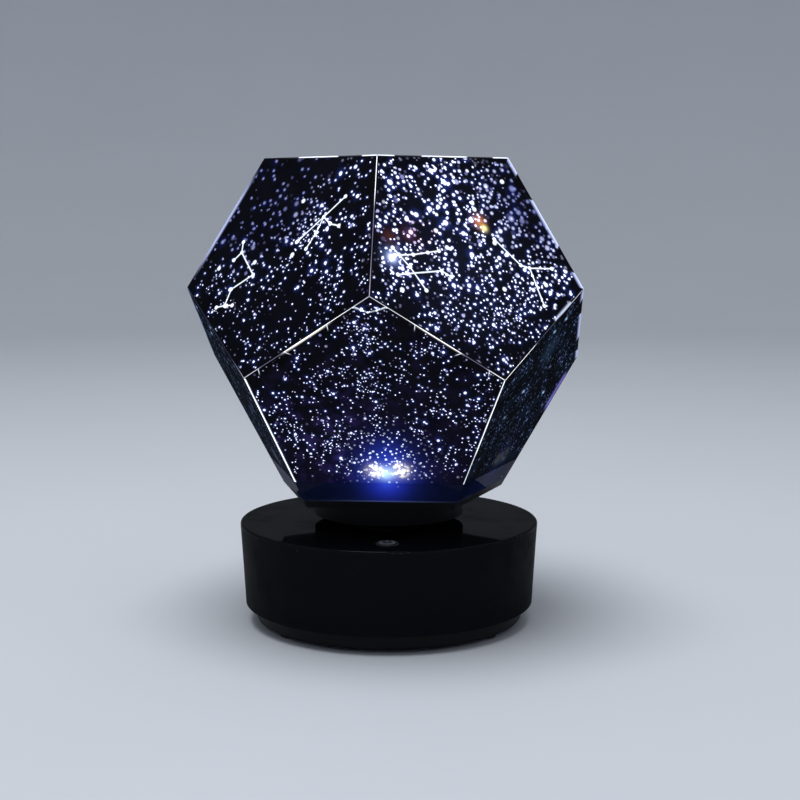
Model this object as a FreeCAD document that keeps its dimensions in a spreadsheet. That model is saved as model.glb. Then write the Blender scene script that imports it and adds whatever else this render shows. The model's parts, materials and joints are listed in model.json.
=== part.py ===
import FreeCAD, Part
import math
import os
import re

import Sketcher
from FreeCAD import Placement, Rotation, Vector

# Pinhole planetarium projector: a round base with a geared turntable, a fixed lamp on a hollow
# post, and a dodecahedral star dome that lifts off the turntable.
#
# Frame: millimetres, +Z up, origin on the resting plane at the centre of the base, front at -Y.
# A regular dodecahedron stands on one (open) face. Its five lower panels lean outwards and its
# five upper panels lean inwards by the same angle, and the eleventh panel closes the top.

SIZES = {
    # star dome
    "pentagon_edge": 60.0,
    "film_thickness": 0.8,
    "seam_gap": 0.3,
    "dome_gap": 15.0,
    "dome_turn": 4.0,
    "collar_height": 8.0,
    "collar_tongue": 2.5,
    "collar_tongue_wall": 1.0,
    "tab_length": 12.6,
    "tab_width": 5.0,
    "tab_thickness": 0.4,
    "tab_corner_distance": 13.5,
    "tab_slant": 35.0,
    # dome tray and turntable
    "tray_thickness": 3.0,
    "tray_hole_radius": 22.0,
    "spigot_height": 3.5,
    "spigot_wall": 2.2,
    "spigot_clearance": 0.3,
    "drum_radius": 31.0,
    "drum_wall": 2.5,
    "turntable_thickness": 2.5,
    "spindle_radius": 9.0,
    "spindle_tail": 0.7,
    "gear_seat_radius": 8.0,
    "gear_seat_flat": 7.2,
    "bearing_clearance": 0.06,
    "thrust_gap": 0.05,
    "bush_wall": 2.0,
    "bush_flange_width": 2.5,
    "bush_flange_thickness": 1.0,
    "washer_thickness": 0.5,
    "washer_width": 4.0,
    "clip_thickness": 0.8,
    "clip_width": 2.6,
    "clip_groove": 0.8,
    "clip_opening": 5.0,
    # base shell and bottom cover
    "base_height": 42.0,
    "base_radius": 62.0,
    "base_taper": 2.0,
    "shell_wall": 2.2,
    "deck_thickness": 2.5,
    "deck_edge_round": 1.0,
    "boss_wall": 3.0,
    "boss_rise": 1.5,
    "foot_height": 8.0,
    "foot_inset": 6.5,
    "foot_wall": 2.2,
    "foot_edge_round": 1.0,
    "floor_thickness": 3.0,
    "cover_clearance": 0.3,
    "cover_spigot": 2.5,
    "post_boss_radius": 3.5,
    "rubber_foot_radius": 4.0,
    "rubber_foot_drop": 1.5,
    "rubber_foot_recess": 1.5,
    "rubber_foot_round": 0.6,
    "rubber_foot_margin": 1.5,
    "rubber_foot_angle": 38.0,
    "cover_boss_clearance": 0.3,
    "cover_screw_angle": 20.0,
    # screws
    "screw_radius": 1.4,
    "screw_head_radius": 2.7,
    "screw_head_height": 1.6,
    "screw_bite": 7.0,
    "screw_slot_length": 3.5,
    "screw_hole_clearance": 0.2,
    "small_screw_radius": 0.95,
    "small_screw_head_radius": 1.8,
    "small_screw_head_height": 1.1,
    "small_screw_bite": 1.6,
    "small_screw_slot_length": 2.4,
    "slot_width": 0.6,
    "pilot_spare": 0.5,
    "counterbore_depth": 1.9,
    # batteries
    "cell_radius": 7.1,
    "cell_length": 49.2,
    "cell_cap_radius": 2.75,
    "cell_cap_length": 1.2,
    "cell_gap": 0.6,
    "cell_play": 0.3,
    "cell_spring_length": 4.6,
    "cell_spring_radius": 3.0,
    "cell_spring_wire": 0.6,
    "cell_spring_turns": 3,
    "contact_thickness": 0.5,
    "contact_width": 9.0,
    "bay_wall": 1.5,
    "bay_margin": 2.2,
    "door_lip": 1.2,
    "door_ledge": 2.0,
    "door_boss_radius": 2.5,
    "door_screw_bite": 3.5,
    "door_clearance": 0.25,
    "door_tab_length": 7.5,
    "door_tab_width": 11.0,
    # boards and leads
    "board_thickness": 1.6,
    "board_width": 31.0,
    "board_length": 22.5,
    "board_inset": 30.0,
    "board_peg_radius": 1.2,
    "board_peg_spacing": 22.0,
    "board_peg_inset": 7.0,
    "board_peg_head": 0.8,
    "connector_size": 3.2,
    "connector_height": 3.0,
    "connector_inset": 1.0,
    "connector_clearance": 1.6,
    "chip_size": 6.0,
    "chip_height": 1.2,
    "chip_x": -5.0,
    "chip_inset": 11.0,
    "coil_size": 5.0,
    "coil_height": 2.6,
    "coil_x": 11.5,
    "coil_inset": 13.5,
    "capacitor_radius": 1.8,
    "capacitor_height": 3.2,
    "capacitor_x": 3.5,
    "capacitor_inset": 12.0,
    "usb_width": 8.9,
    "usb_thickness": 3.2,
    "usb_length": 7.4,
    "usb_wall": 0.35,
    "usb_setback": 1.6,
    "usb_clearance": 0.2,
    "usb_tongue_thickness": 0.7,
    "usb_tongue_setback": 1.5,
    "usb_floor": 1.2,
    "lead_radius": 0.6,
    "lead_bend_ratio": 0.46,
    "lead_spacing": 2.0,
    "motor_lead_x": 3.6,
    "key_lead_offset": 2.3,
    "key_lead_spacing": 1.4,
    "key_lead_setback": 2.5,
    # drive
    "gear_module": 0.6,
    "gear_teeth": 64,
    "pinion_teeth": 18,
    "gear_room_ratio": 0.625,
    "gear_gap": 0.5,
    "gear_web_ratio": 0.24,
    "gear_rim_width": 1.8,
    "gear_hub_width": 2.2,
    "pinion_overlap": 0.5,
    "backlash": 0.16,
    "plate_thickness": 2.0,
    "plate_radius": 42.0,
    "plate_margin": 2.0,
    "plate_gap": 0.5,
    "plate_screw_spacing": 46.6,
    "motor_radius": 10.5,
    "motor_height": 17.0,
    "motor_edge_round": 1.0,
    "motor_collar_radius": 5.0,
    "motor_collar_height": 1.4,
    "motor_collar_clearance": 0.2,
    "motor_ear_reach": 2.3,
    "motor_ear_radius": 2.4,
    "motor_ear_thickness": 1.5,
    "motor_shaft_radius": 1.5,
    "motor_shaft_depth": 9.0,
    "motor_shaft_end_gap": 1.0,
    "shaft_clearance": 0.05,
    # lamp
    "post_radius": 4.5,
    "post_bore_radius": 2.9,
    "post_clearance": 0.8,
    "post_flange_radius": 8.8,
    "post_flange_thickness": 1.5,
    "post_screw_distance": 6.9,
    "lamp_head_radius": 8.0,
    "lamp_head_thickness": 2.5,
    "lamp_head_lip": 0.4,
    "lamp_height": 3.5,
    "led_size": 3.6,
    "led_thickness": 0.8,
    "led_dome_radius": 1.6,
    # power key
    "key_radius": 4.5,
    "key_proud": 0.6,
    "key_clearance": 0.2,
    "key_round": 0.4,
    "key_inset": 13.0,
    "key_flange_width": 1.1,
    "key_flange_thickness": 1.0,
    "key_flange_gap": 0.1,
    "key_stem_radius": 2.0,
    "key_travel": 0.5,
    "key_board_drop": 7.5,
    "key_board_width": 30.0,
    "key_board_depth": 10.0,
    "key_post_radius": 2.2,
    "key_post_spacing": 22.0,
    "switch_size": 6.0,
    "switch_height": 3.5,
    "plunger_radius": 1.7,
    "plunger_clearance": 0.1,
    "plunger_height": 2.0,
    "plunger_seat": 0.9,
    # how far each cut runs past the face that it opens
    "overrun": 1.0,
}

# Levels above the resting plane and radii that follow from the sizes.
LEVELS = {
    "cover_underside": "rubber_foot_drop",
    "floor_top": "cover_underside + floor_thickness",
    "cell_pitch": "2 * cell_radius + cell_gap",
    "bay_length": "cell_length + cell_cap_length + cell_spring_length + 2 * contact_thickness",
    "bay_width": "3 * cell_pitch",
    "bay_height": "2 * cell_radius + 2 * cell_play",
    "bay_top": "floor_top + bay_height + bay_wall",
    "cell_level": "floor_top + cell_play + cell_radius",
    "board_top": "bay_top + board_thickness",
    "deck_underside": "base_height - deck_thickness",
    "plate_underside": "board_top + connector_height + connector_clearance",
    "plate_top": "plate_underside + plate_thickness",
    "spindle_end": "plate_top + plate_gap",
    "clip_bottom": "spindle_end + spindle_tail",
    "gear_bottom": "clip_bottom + clip_thickness",
    "gear_width": "gear_room_ratio * (deck_underside - gear_gap - gear_bottom)",
    "gear_top": "gear_bottom + gear_width",
    "boss_bottom": "gear_top + gear_gap",
    "boss_top": "base_height + boss_rise",
    "bearing_radius": "spindle_radius + bearing_clearance",
    "bush_radius": "bearing_radius + bush_wall",
    "boss_radius": "bush_radius + boss_wall",
    "bush_top": "boss_top + bush_flange_thickness",
    "washer_top": "bush_top + washer_thickness",
    "turntable_underside": "washer_top + thrust_gap",
    "turntable_top": "turntable_underside + turntable_thickness",
    "spindle_bore_radius": "post_radius + post_clearance",
    "dome_bottom": "base_height + dome_gap",
    "tray_underside": "dome_bottom - tray_thickness",
    "gear_pitch_radius": "gear_module * gear_teeth / 2",
    "pinion_pitch_radius": "gear_module * pinion_teeth / 2",
    "motor_y": "-(gear_pitch_radius + pinion_pitch_radius)",
    "motor_ear_distance": "motor_radius + motor_ear_reach",
    "shell_inner_bottom": "base_radius - base_taper - shell_wall",
    "cover_radius": "shell_inner_bottom - cover_clearance",
    "foot_radius": "base_radius - foot_inset",
    "rubber_foot_ring": "foot_radius - rubber_foot_radius - rubber_foot_margin",
    "rubber_foot_x": "rubber_foot_ring * cos(rubber_foot_angle * 1 deg)",
    "rubber_foot_y": "rubber_foot_ring * sin(rubber_foot_angle * 1 deg)",
    "cover_screw_ring": "foot_radius - foot_wall - post_boss_radius - cover_boss_clearance",
    "cover_screw_x": "cover_screw_ring * cos(cover_screw_angle * 1 deg)",
    "cover_screw_y": "cover_screw_ring * sin(cover_screw_angle * 1 deg)",
    "bay_reach": "sqrt(pow(foot_radius - foot_wall - bay_margin; 2)"
                 " - pow(bay_length / 2 + bay_wall; 2))",
    "bay_offset_y": "bay_reach - bay_width / 2 - bay_wall",
    "door_screw_x": "bay_length / 2 + door_ledge + door_tab_length / 2",
    "board_front_y": "base_radius - board_inset",
    "board_peg_y": "board_front_y + board_peg_inset",
    "connector_front_y": "board_front_y + connector_inset",
    "key_board_top": "deck_underside - key_board_drop",
    "key_board_underside": "key_board_top - board_thickness",
    "key_distance": "base_radius - key_inset",
    "key_lead_x": "-(motor_radius + key_lead_offset)",
    "lead_level": "board_top + connector_height / 2",
    "lead_bend": "lead_bend_ratio * (key_board_underside - lead_level)",
    "usb_mouth_y": "base_radius - usb_setback",
    "usb_level": "board_top + usb_thickness / 2",
    "post_end": "plate_underside - post_flange_thickness",
    "led_board_top": "dome_bottom + lamp_height",
    "led_board_underside": "led_board_top - board_thickness",
    "switch_top": "key_board_top + switch_height",
    "plunger_bottom": "switch_top - plunger_seat",
    "plunger_top": "plunger_bottom + plunger_height",
    "key_flange_top": "deck_underside - key_flange_gap",
    "key_flange_bottom": "key_flange_top - key_flange_thickness",
    "key_top": "base_height + key_proud",
    "face_circumradius": "pentagon_edge / (2 * sin(36 deg))",
    "face_inradius": "pentagon_edge / (2 * tan(36 deg))",
    "dome_inradius": "1.1135163644 * pentagon_edge",
    "dome_midradius": "1.3090169944 * pentagon_edge",
    "dome_centre": "dome_bottom + dome_inradius",
}

# Angles of the regular dodecahedron, in degrees: how far its side faces lean from the
# vertical, and how far a mitred panel edge leans from the panel's normal.
FACE_LEAN = math.degrees(math.atan(0.5))
MITRE = math.degrees(math.atan(2 / (1 + math.sqrt(5))))
LEAN_COS = math.cos(math.radians(FACE_LEAN))
# The gear teeth: their pressure angle, and their depth below the pitch circle in modules.
PRESSURE_ANGLE = math.radians(20)
DEDENDUM = 1.25
# The angle of a pentagon's first corner that turns one of its sides to the front.
SIDE_TO_FRONT = -54

ALIASES = {name: "Sizes." + name for name in SIZES}
ALIASES.update({name: "Levels." + name for name in LEVELS})

doc = FreeCAD.newDocument("planetarium_projector")


# ---------------------------------------------------------------- sheets and expressions

def bound(words):
    """An expression in plain aliases, with the sheet's name put before each alias."""
    return re.sub(r"[a-z][a-z_]+", lambda word: ALIASES.get(word[0], word[0]), words)


def add_sheet(name, cells):
    """A spreadsheet with one row for each alias: its name, then its number or formula."""
    sheet = doc.addObject("Spreadsheet::Sheet", name)
    for row, (alias, content) in enumerate(cells.items(), start=1):
        sheet.set(f"A{row}", alias)
        sheet.set(f"B{row}", content)
        sheet.setAlias(f"B{row}", alias)
    return sheet


sizes = add_sheet("Sizes", {name: str(number) for name, number in SIZES.items()})
doc.recompute()
levels = add_sheet("Levels", {name: "=" + bound(words) for name, words in LEVELS.items()})
doc.recompute()


def value(words):
    """The number that an expression in aliases stands for now."""
    return float(sizes.evalExpression(bound(words)))


# ---------------------------------------------------------------- building blocks

def bind(thing, **properties):
    """Bind properties of an object to expressions; a double underscore stands for a dot."""
    for name, words in properties.items():
        thing.setExpression(name.replace("__", "."), bound(words))
    return thing


def place(thing, x="0", y="0", z="0"):
    """Bind an object's position to expressions."""
    return bind(thing, Placement__Base__x=x, Placement__Base__y=y, Placement__Base__z=z)


def add(kind, label):
    thing = doc.addObject(kind, label)
    thing.Label = label
    return thing


def cylinder(label, radius, height, x="0", y="0", z="0"):
    return place(bind(add("Part::Cylinder", label), Radius=radius, Height=height), x, y, z)


def box(label, length, width, height, x="0", y="0", z="0"):
    """A box centred on x and y that stands on level z."""
    solid = bind(add("Part::Box", label), Length=length, Width=width, Height=height)
    return place(solid, f"{x} - ({length}) / 2", f"{y} - ({width}) / 2", z)


def drill(label, radius, depth, x="0", y="0", z="0", blind=False):
    """A cylinder that cuts from level z up by depth: past its start, and past its end too
    unless it is blind."""
    ends = "overrun" if blind else "2 * overrun"
    return cylinder(label, radius, f"{depth} + {ends}", x, y, f"{z} - overrun")


def pocket(label, length, width, depth, x="0", y="0", z="0", blind=False):
    """A box that cuts from level z upwards, as drill does."""
    ends = "overrun" if blind else "2 * overrun"
    return box(label, length, width, f"{depth} + {ends}", x, y, f"{z} - overrun")


def fuse(label, *solids):
    joined = add("Part::MultiFuse", label)
    joined.Shapes = list(solids)
    return joined


def cut(label, base, *tools):
    """The base with the tools taken away."""
    result = add("Part::Cut", label)
    result.Base = base
    result.Tool = tools[0] if len(tools) == 1 else fuse(label + "_tools", *tools)
    return result


def common(label, *solids):
    shared = add("Part::MultiCommon", label)
    shared.Shapes = list(solids)
    return shared


def group(label, *solids):
    """Separate solids that share one node."""
    gathered = add("Part::Compound", label)
    gathered.Links = list(solids)
    return gathered


def mirrored(source, normal):
    copy = add("Part::Mirroring", source.Label + "_mirrored")
    copy.Source = source
    copy.Normal = normal
    return copy


def pair(label, solid, normal=Vector(1, 0, 0)):
    """A solid and its mirror image across a plane through the Z axis."""
    return group(label, solid, mirrored(solid, normal))


def four_corners(label, solid):
    """A solid and its images at the four corners of a rectangle centred on the Z axis."""
    return pair(label, pair(label + "_side", solid), Vector(0, 1, 0))


def ring(label, outer, inner, height, x="0", y="0", z="0"):
    """A flat ring or tube; its inner wall is cut past both ends."""
    bore = drill(label + "_bore", inner, height, x, y, z)
    return cut(label, cylinder(label + "_body", outer, height, x, y, z), bore)


def outline(body, name, points, plane="XY_Plane"):
    """A closed sketch of straight lines whose corners are bound to pairs of expressions."""
    sketch = body.newObject("Sketcher::SketchObject", name)
    planes = {feature.Role: feature for feature in body.Origin.OriginFeatures}
    sketch.AttachmentSupport = [(planes[plane], "")]
    sketch.MapMode = "FlatFace"
    corners = [Vector(value(across), value(up), 0) for across, up in points]
    count = len(points)
    for index in range(count):
        sketch.addGeometry(Part.LineSegment(corners[index], corners[(index + 1) % count]), False)
    for index in range(count):
        sketch.addConstraint(Sketcher.Constraint("Coincident", index, 2, (index + 1) % count, 1))
    for index, (across, up) in enumerate(points):
        for kind, start, words in (("DistanceX", corners[index].x, across),
                                   ("DistanceY", corners[index].y, up)):
            number = sketch.addConstraint(Sketcher.Constraint(kind, -1, 1, index, 1, start))
            sketch.setExpression(f"Constraints[{number}]", bound(words))
    return sketch


def edge_names(shape, test):
    return [f"Edge{index}" for index, edge in enumerate(shape.Edges, start=1) if test(edge)]


def lathe(label, profile, rims=(), x="0", y="0", z="0"):
    """A body turned about Z from a profile of (radius, level) corners.

    Each rim is (radius, level, fillet): the circular edge there gets that fillet."""
    body = add("PartDesign::Body", label)
    sketch = outline(body, label + "_profile", profile, "XZ_Plane")
    turned = body.newObject("PartDesign::Revolution", label + "_turned")
    turned.Profile = sketch
    turned.ReferenceAxis = (sketch, ["V_Axis"])
    turned.Angle = 360
    doc.recompute()
    base = turned
    for radius, level, fillet in rims:
        def on_rim(edge, wanted_radius=value(radius), wanted_level=value(level)):
            return (hasattr(edge.Curve, "Radius")
                    and abs(edge.Curve.Radius - wanted_radius) < 1e-4
                    and abs(edge.CenterOfMass.z - wanted_level) < 1e-4)
        rounding = body.newObject("PartDesign::Fillet", label + "_round")
        rounding.Base = (base, edge_names(base.Shape, on_rim))
        bind(rounding, Radius=fillet)
        doc.recompute()
        base = rounding
    return place(body, x, y, z)


def screw(label, kind, grip, bite, x, y, head_level):
    """A cross-slotted pan-head screw that points up; its head starts at head_level.

    kind is the prefix of its sizes, grip the thickness it clamps and bite its hold beyond."""
    radius = kind + "_radius"
    head_radius = kind + "_head_radius"
    head_height = kind + "_head_height"
    tip = f"{head_height} + {grip} + {bite}"
    profile = [("0", "0"), (head_radius, "0"), (head_radius, head_height),
               (radius, head_height), (radius, tip), ("0", tip)]
    blank = lathe(label + "_blank", profile, x=x, y=y, z=head_level)
    slot_length = kind + "_slot_length"
    slots = [pocket(f"{label}_slot_{index}", length, width, f"{head_height} / 2", x, y,
                    head_level, blind=True)
             for index, (length, width) in enumerate(((slot_length, "slot_width"),
                                                      ("slot_width", slot_length)))]
    return cut(label, blank, *slots)


def solid_feature(label, shape):
    """A feature whose shape is worked out from the sheet by its own function."""
    feature = add("Part::Feature", label)
    feature.Shape = shape
    return feature


# ---------------------------------------------------------------- base shell and bottom cover

def make_base_shell():
    profile = [("bush_radius", "boss_bottom"), ("boss_radius", "boss_bottom"),
               ("boss_radius", "deck_underside"), ("base_radius - shell_wall", "deck_underside"),
               ("shell_inner_bottom", "foot_height"), ("base_radius - base_taper", "foot_height"),
               ("base_radius", "base_height"), ("boss_radius", "base_height"),
               ("boss_radius", "boss_top"), ("bush_radius", "boss_top")]
    cup = lathe("shell_cup", profile, [("base_radius", "base_height", "deck_edge_round")])
    screw_x = "plate_screw_spacing / 2"
    plate_boss = cylinder("plate_boss", "post_boss_radius", "deck_underside - plate_top",
                          screw_x, screw_x, "plate_top")
    pilot_depth = "screw_bite + pilot_spare"
    plate_pilot = drill("plate_pilot", "screw_radius", pilot_depth, screw_x, screw_x,
                        "plate_top", blind=True)
    cover_boss = cylinder("cover_boss", "post_boss_radius", "deck_underside - floor_top",
                          "cover_screw_x", "cover_screw_y", "floor_top")
    cover_pilot = drill("cover_pilot", "screw_radius", pilot_depth, "cover_screw_x",
                        "cover_screw_y", "floor_top", blind=True)
    key_post = cylinder("key_post", "key_post_radius", "key_board_drop",
                        "key_post_spacing / 2", "-key_distance", "key_board_top")
    key_peg = cylinder("key_peg", "board_peg_radius",
                       "board_thickness + board_peg_head + key_board_drop",
                       "key_post_spacing / 2", "-key_distance",
                       "key_board_underside - board_peg_head")
    key_hole = drill("key_hole", "key_radius + key_clearance", "deck_thickness", "0",
                     "-key_distance", "deck_underside")
    usb_hole = stadium("usb_hole", "usb_width + 2 * usb_clearance",
                       "usb_thickness + 2 * usb_clearance",
                       "base_radius - shell_inner_bottom + 2 * overrun",
                       "shell_inner_bottom - overrun")
    bosses = fuse("shell_with_bosses", cup, four_corners("plate_bosses", plate_boss),
                  four_corners("cover_bosses", cover_boss), pair("key_posts", key_post),
                  pair("key_pegs", key_peg))
    cut("base_shell", bosses, four_corners("plate_pilots", plate_pilot),
        four_corners("cover_pilots", cover_pilot), key_hole, usb_hole)


def stadium(label, width, thickness, length, front):
    """A round-ended bar that lies along Y from y = front, at the level of the USB socket."""
    middle = box(label + "_middle", f"{width} - ({thickness})", length, thickness,
                 y=f"{front} + ({length}) / 2", z=f"usb_level - ({thickness}) / 2")
    end = cylinder(label + "_end", f"({thickness}) / 2", length,
                   f"({width} - ({thickness})) / 2", front, "usb_level")
    end.Placement.Rotation = Rotation(Vector(1, 0, 0), -90)
    return fuse(label, middle, end, mirrored(end, Vector(1, 0, 0)))


def make_bottom_cover():
    profile = [("0", "cover_underside"), ("foot_radius", "cover_underside"),
               ("foot_radius", "foot_height"), ("cover_radius", "foot_height"),
               ("cover_radius", "foot_height + cover_spigot"),
               ("foot_radius - foot_wall", "foot_height + cover_spigot"),
               ("foot_radius - foot_wall", "floor_top"), ("0", "floor_top")]
    dish = lathe("cover_dish", profile, [("foot_radius", "cover_underside", "foot_edge_round")])
    door_boss = cylinder("door_boss", "door_boss_radius", "door_screw_bite", "door_screw_x",
                         "bay_offset_y", "floor_top")
    opening = pocket("door_opening", "bay_length", "bay_width", "floor_thickness",
                     y="bay_offset_y", z="cover_underside")
    rebate = pocket("door_rebate", "bay_length + 2 * door_ledge", "bay_width + 2 * door_ledge",
                    "door_lip", y="bay_offset_y", z="cover_underside", blind=True)
    tab_reach = "(door_ledge + door_tab_length + door_clearance)"
    tab_rebate = pocket("door_tab_rebate", tab_reach, "door_tab_width + 2 * door_clearance",
                        "counterbore_depth", f"bay_length / 2 + {tab_reach} / 2",
                        "bay_offset_y", "cover_underside", blind=True)
    door_pilot = drill("door_pilot", "small_screw_radius",
                       "floor_thickness + door_screw_bite", "door_screw_x", "bay_offset_y",
                       "cover_underside")
    hole = drill("cover_hole", "screw_radius + screw_hole_clearance", "floor_thickness",
                 "cover_screw_x", "cover_screw_y", "cover_underside")
    counterbore = drill("cover_counterbore", "screw_head_radius + screw_hole_clearance",
                        "counterbore_depth", "cover_screw_x", "cover_screw_y",
                        "cover_underside", blind=True)
    recess = drill("foot_recess", "rubber_foot_radius", "rubber_foot_recess", "rubber_foot_x",
                   "rubber_foot_y", "cover_underside", blind=True)
    cut("bottom_cover", fuse("cover_with_boss", dish, door_boss), opening, rebate, tab_rebate,
        door_pilot, four_corners("cover_holes", hole),
        four_corners("cover_counterbores", counterbore), four_corners("foot_recesses", recess))


def make_base_fasteners_and_feet():
    height = "rubber_foot_drop + rubber_foot_recess"
    profile = [("0", "0"), ("rubber_foot_radius", "0"), ("rubber_foot_radius", height),
               ("0", height)]
    foot = lathe("rubber_foot", profile, [("rubber_foot_radius", "0", "rubber_foot_round")],
                 "rubber_foot_x", "rubber_foot_y")
    four_corners("rubber_feet", foot)
    cover_screw = screw("cover_screw", "screw", "floor_thickness - counterbore_depth",
                        "screw_bite", "cover_screw_x", "cover_screw_y",
                        "cover_underside + counterbore_depth - screw_head_height")
    four_corners("cover_screws", cover_screw)


# ---------------------------------------------------------------- batteries

def make_battery_bay():
    block = box("bay_block", "bay_length + 2 * bay_wall", "bay_width + 2 * bay_wall",
                "bay_height + bay_wall", y="bay_offset_y", z="floor_top")
    room = pocket("bay_room", "bay_length", "bay_width", "bay_height", y="bay_offset_y",
                  z="floor_top", blind=True)
    peg = cylinder("board_peg", "board_peg_radius", "board_thickness + board_peg_head",
                   "board_peg_spacing / 2", "board_peg_y", "bay_top")
    fuse("battery_holder", cut("bay_cup", block, room), pair("board_pegs", peg))


def make_battery_door():
    lid = box("door_lid", "bay_length + 2 * (door_ledge - door_clearance)",
              "bay_width + 2 * (door_ledge - door_clearance)", "door_lip",
              y="bay_offset_y", z="cover_underside")
    tab = box("door_tab", "door_tab_length + door_ledge", "door_tab_width", "counterbore_depth",
              "door_screw_x - door_ledge / 2", "bay_offset_y", "cover_underside")
    plug = box("door_plug", "bay_length - 2 * door_clearance",
               "bay_width - 2 * door_clearance", "floor_thickness", y="bay_offset_y",
               z="cover_underside")
    hole = drill("door_hole", "small_screw_radius + screw_hole_clearance", "floor_thickness",
                 "door_screw_x", "bay_offset_y", "cover_underside")
    head_room = drill("door_counterbore", "small_screw_head_radius + screw_hole_clearance",
                      "small_screw_head_height", "door_screw_x", "bay_offset_y",
                      "cover_underside", blind=True)
    cut("battery_door", fuse("door_blank", lid, tab, plug), hole, head_room)
    screw("door_screw", "small_screw", "counterbore_depth - small_screw_head_height",
          "door_screw_bite", "door_screw_x", "bay_offset_y", "cover_underside")


def make_cell(label, turned, y):
    """One cylindrical cell lying along X; a turned cell has its cap at -X."""
    profile = [("0", "0"), ("cell_radius", "0"), ("cell_radius", "cell_length"),
               ("cell_cap_radius", "cell_length"),
               ("cell_cap_radius", "cell_length + cell_cap_length"),
               ("0", "cell_length + cell_cap_length")]
    side = "-1" if turned else "1"
    start = f"{side} * (cell_spring_length + contact_thickness - bay_length / 2)"
    cell = lathe(label, profile, [("cell_radius", "cell_length", "cell_cap_length / 2")],
                 start, y, "cell_level")
    cell.Placement.Rotation = Rotation(Vector(0, 1, 0), -90 if turned else 90)
    return cell


def spring_shape(turned, y):
    """The contact spring behind one cell: a round wire wound on a helix, with flat end rings."""
    wire_radius = value("cell_spring_wire / 2")
    radius = value("cell_spring_radius")
    length = value("cell_spring_length")
    turns = value("cell_spring_turns")
    end_ring = Part.makeTorus(radius, wire_radius)
    rings = [end_ring.translated(Vector(0, 0, wire_radius)),
             end_ring.translated(Vector(0, 0, length - wire_radius))]
    climb = length - 2 * wire_radius
    helix = Part.makeHelix(climb / turns, climb, radius).translated(Vector(0, 0, wire_radius))
    section = Part.Wire(Part.makeCircle(wire_radius, Vector(radius, 0, wire_radius),
                                        Vector(0, 1, 0)))
    coil = Part.Wire(helix.Edges).makePipeShell([section], True, True)
    spring = rings[0].fuse([coil, rings[1]])
    side = -1 if turned else 1
    start = side * (value("contact_thickness") - value("bay_length") / 2)
    spring.Placement = Placement(Vector(start, value(y), value("cell_level")),
                                 Rotation(Vector(0, 1, 0), 90 * side))
    return spring


def make_cells_and_contacts():
    rows = [("bay_offset_y - cell_pitch", False), ("bay_offset_y", True),
            ("bay_offset_y + cell_pitch", False)]
    group("battery_cells", *[make_cell(f"cell_{index}", turned, y)
                             for index, (y, turned) in enumerate(rows, start=1)])
    solid_feature("battery_springs",
                  Part.makeCompound([spring_shape(turned, y) for y, turned in rows]))
    end_x = "(bay_length - contact_thickness) / 2"
    bridge_width = "cell_pitch + contact_width"
    plates = [("contact_1", f"-{end_x}", "contact_width", "bay_offset_y - cell_pitch"),
              ("contact_2", end_x, bridge_width, "bay_offset_y - cell_pitch / 2"),
              ("contact_3", f"-{end_x}", bridge_width, "bay_offset_y + cell_pitch / 2"),
              ("contact_4", end_x, "contact_width", "bay_offset_y + cell_pitch")]
    group("battery_contacts", *[box(label, "contact_thickness", width, "contact_width", x, y,
                                    "cell_level - contact_width / 2")
                                for label, x, width, y in plates])


# ---------------------------------------------------------------- main board and leads

def make_main_board():
    board_y = "board_front_y + board_length / 2"
    board = box("board_blank", "board_width", "board_length", "board_thickness", y=board_y,
                z="bay_top")
    hole = drill("board_hole", "board_peg_radius", "board_thickness", "board_peg_spacing / 2",
                 "board_peg_y", "bay_top")
    cut("main_board", board, pair("board_holes", hole))
    connectors = [box(label, "connector_size", "connector_size", "connector_height", x,
                      "connector_front_y + connector_size / 2", "board_top")
                  for label, x in (("lamp_connector", "0"), ("motor_connector", "motor_lead_x"),
                                   ("key_connector", "key_lead_x"))]
    chip = box("control_chip", "chip_size", "chip_size", "chip_height", "chip_x",
               "board_front_y + chip_inset", "board_top")
    coil = box("power_coil", "coil_size", "coil_size", "coil_height", "coil_x",
               "board_front_y + coil_inset", "board_top")
    can = cylinder("capacitor", "capacitor_radius", "capacitor_height", "capacitor_x",
                   "board_front_y + capacitor_inset", "board_top")
    group("board_components", *connectors, chip, coil, can)


def make_usb_socket():
    front = "usb_mouth_y - usb_length"
    outer = stadium("usb_case", "usb_width", "usb_thickness", "usb_length", front)
    inner = stadium("usb_room", "usb_width - 2 * usb_wall", "usb_thickness - 2 * usb_wall",
                    "usb_length", f"{front} + usb_floor")
    tongue_length = "(usb_length - usb_tongue_setback)"
    tongue = box("usb_tongue", "usb_width - usb_thickness", tongue_length,
                 "usb_tongue_thickness", y=f"{front} + {tongue_length} / 2",
                 z="usb_level - usb_tongue_thickness / 2")
    fuse("usb_socket", cut("usb_tube", outer, inner), tongue)


def lead_shape(x, start, end_y):
    """A round lead that comes straight down from start, turns once and runs to end_y.

    start is (y, level) of its upper end."""
    bend = value("lead_bend")
    low = value("lead_level")
    bend_at = low + bend
    y, top = start
    corner = bend * (1 - math.cos(math.radians(45)))
    down = Part.LineSegment(Vector(x, y, top), Vector(x, y, bend_at)).toShape()
    turn = Part.Arc(Vector(x, y, bend_at),
                    Vector(x, y + corner, low + corner),
                    Vector(x, y + bend, low)).toShape()
    along = Part.LineSegment(Vector(x, y + bend, low), Vector(x, end_y, low)).toShape()
    section = Part.Wire(Part.makeCircle(value("lead_radius"), Vector(x, y, top),
                                        Vector(0, 0, 1)))
    return Part.Wire([down, turn, along]).makePipeShell([section], True, True)


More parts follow.
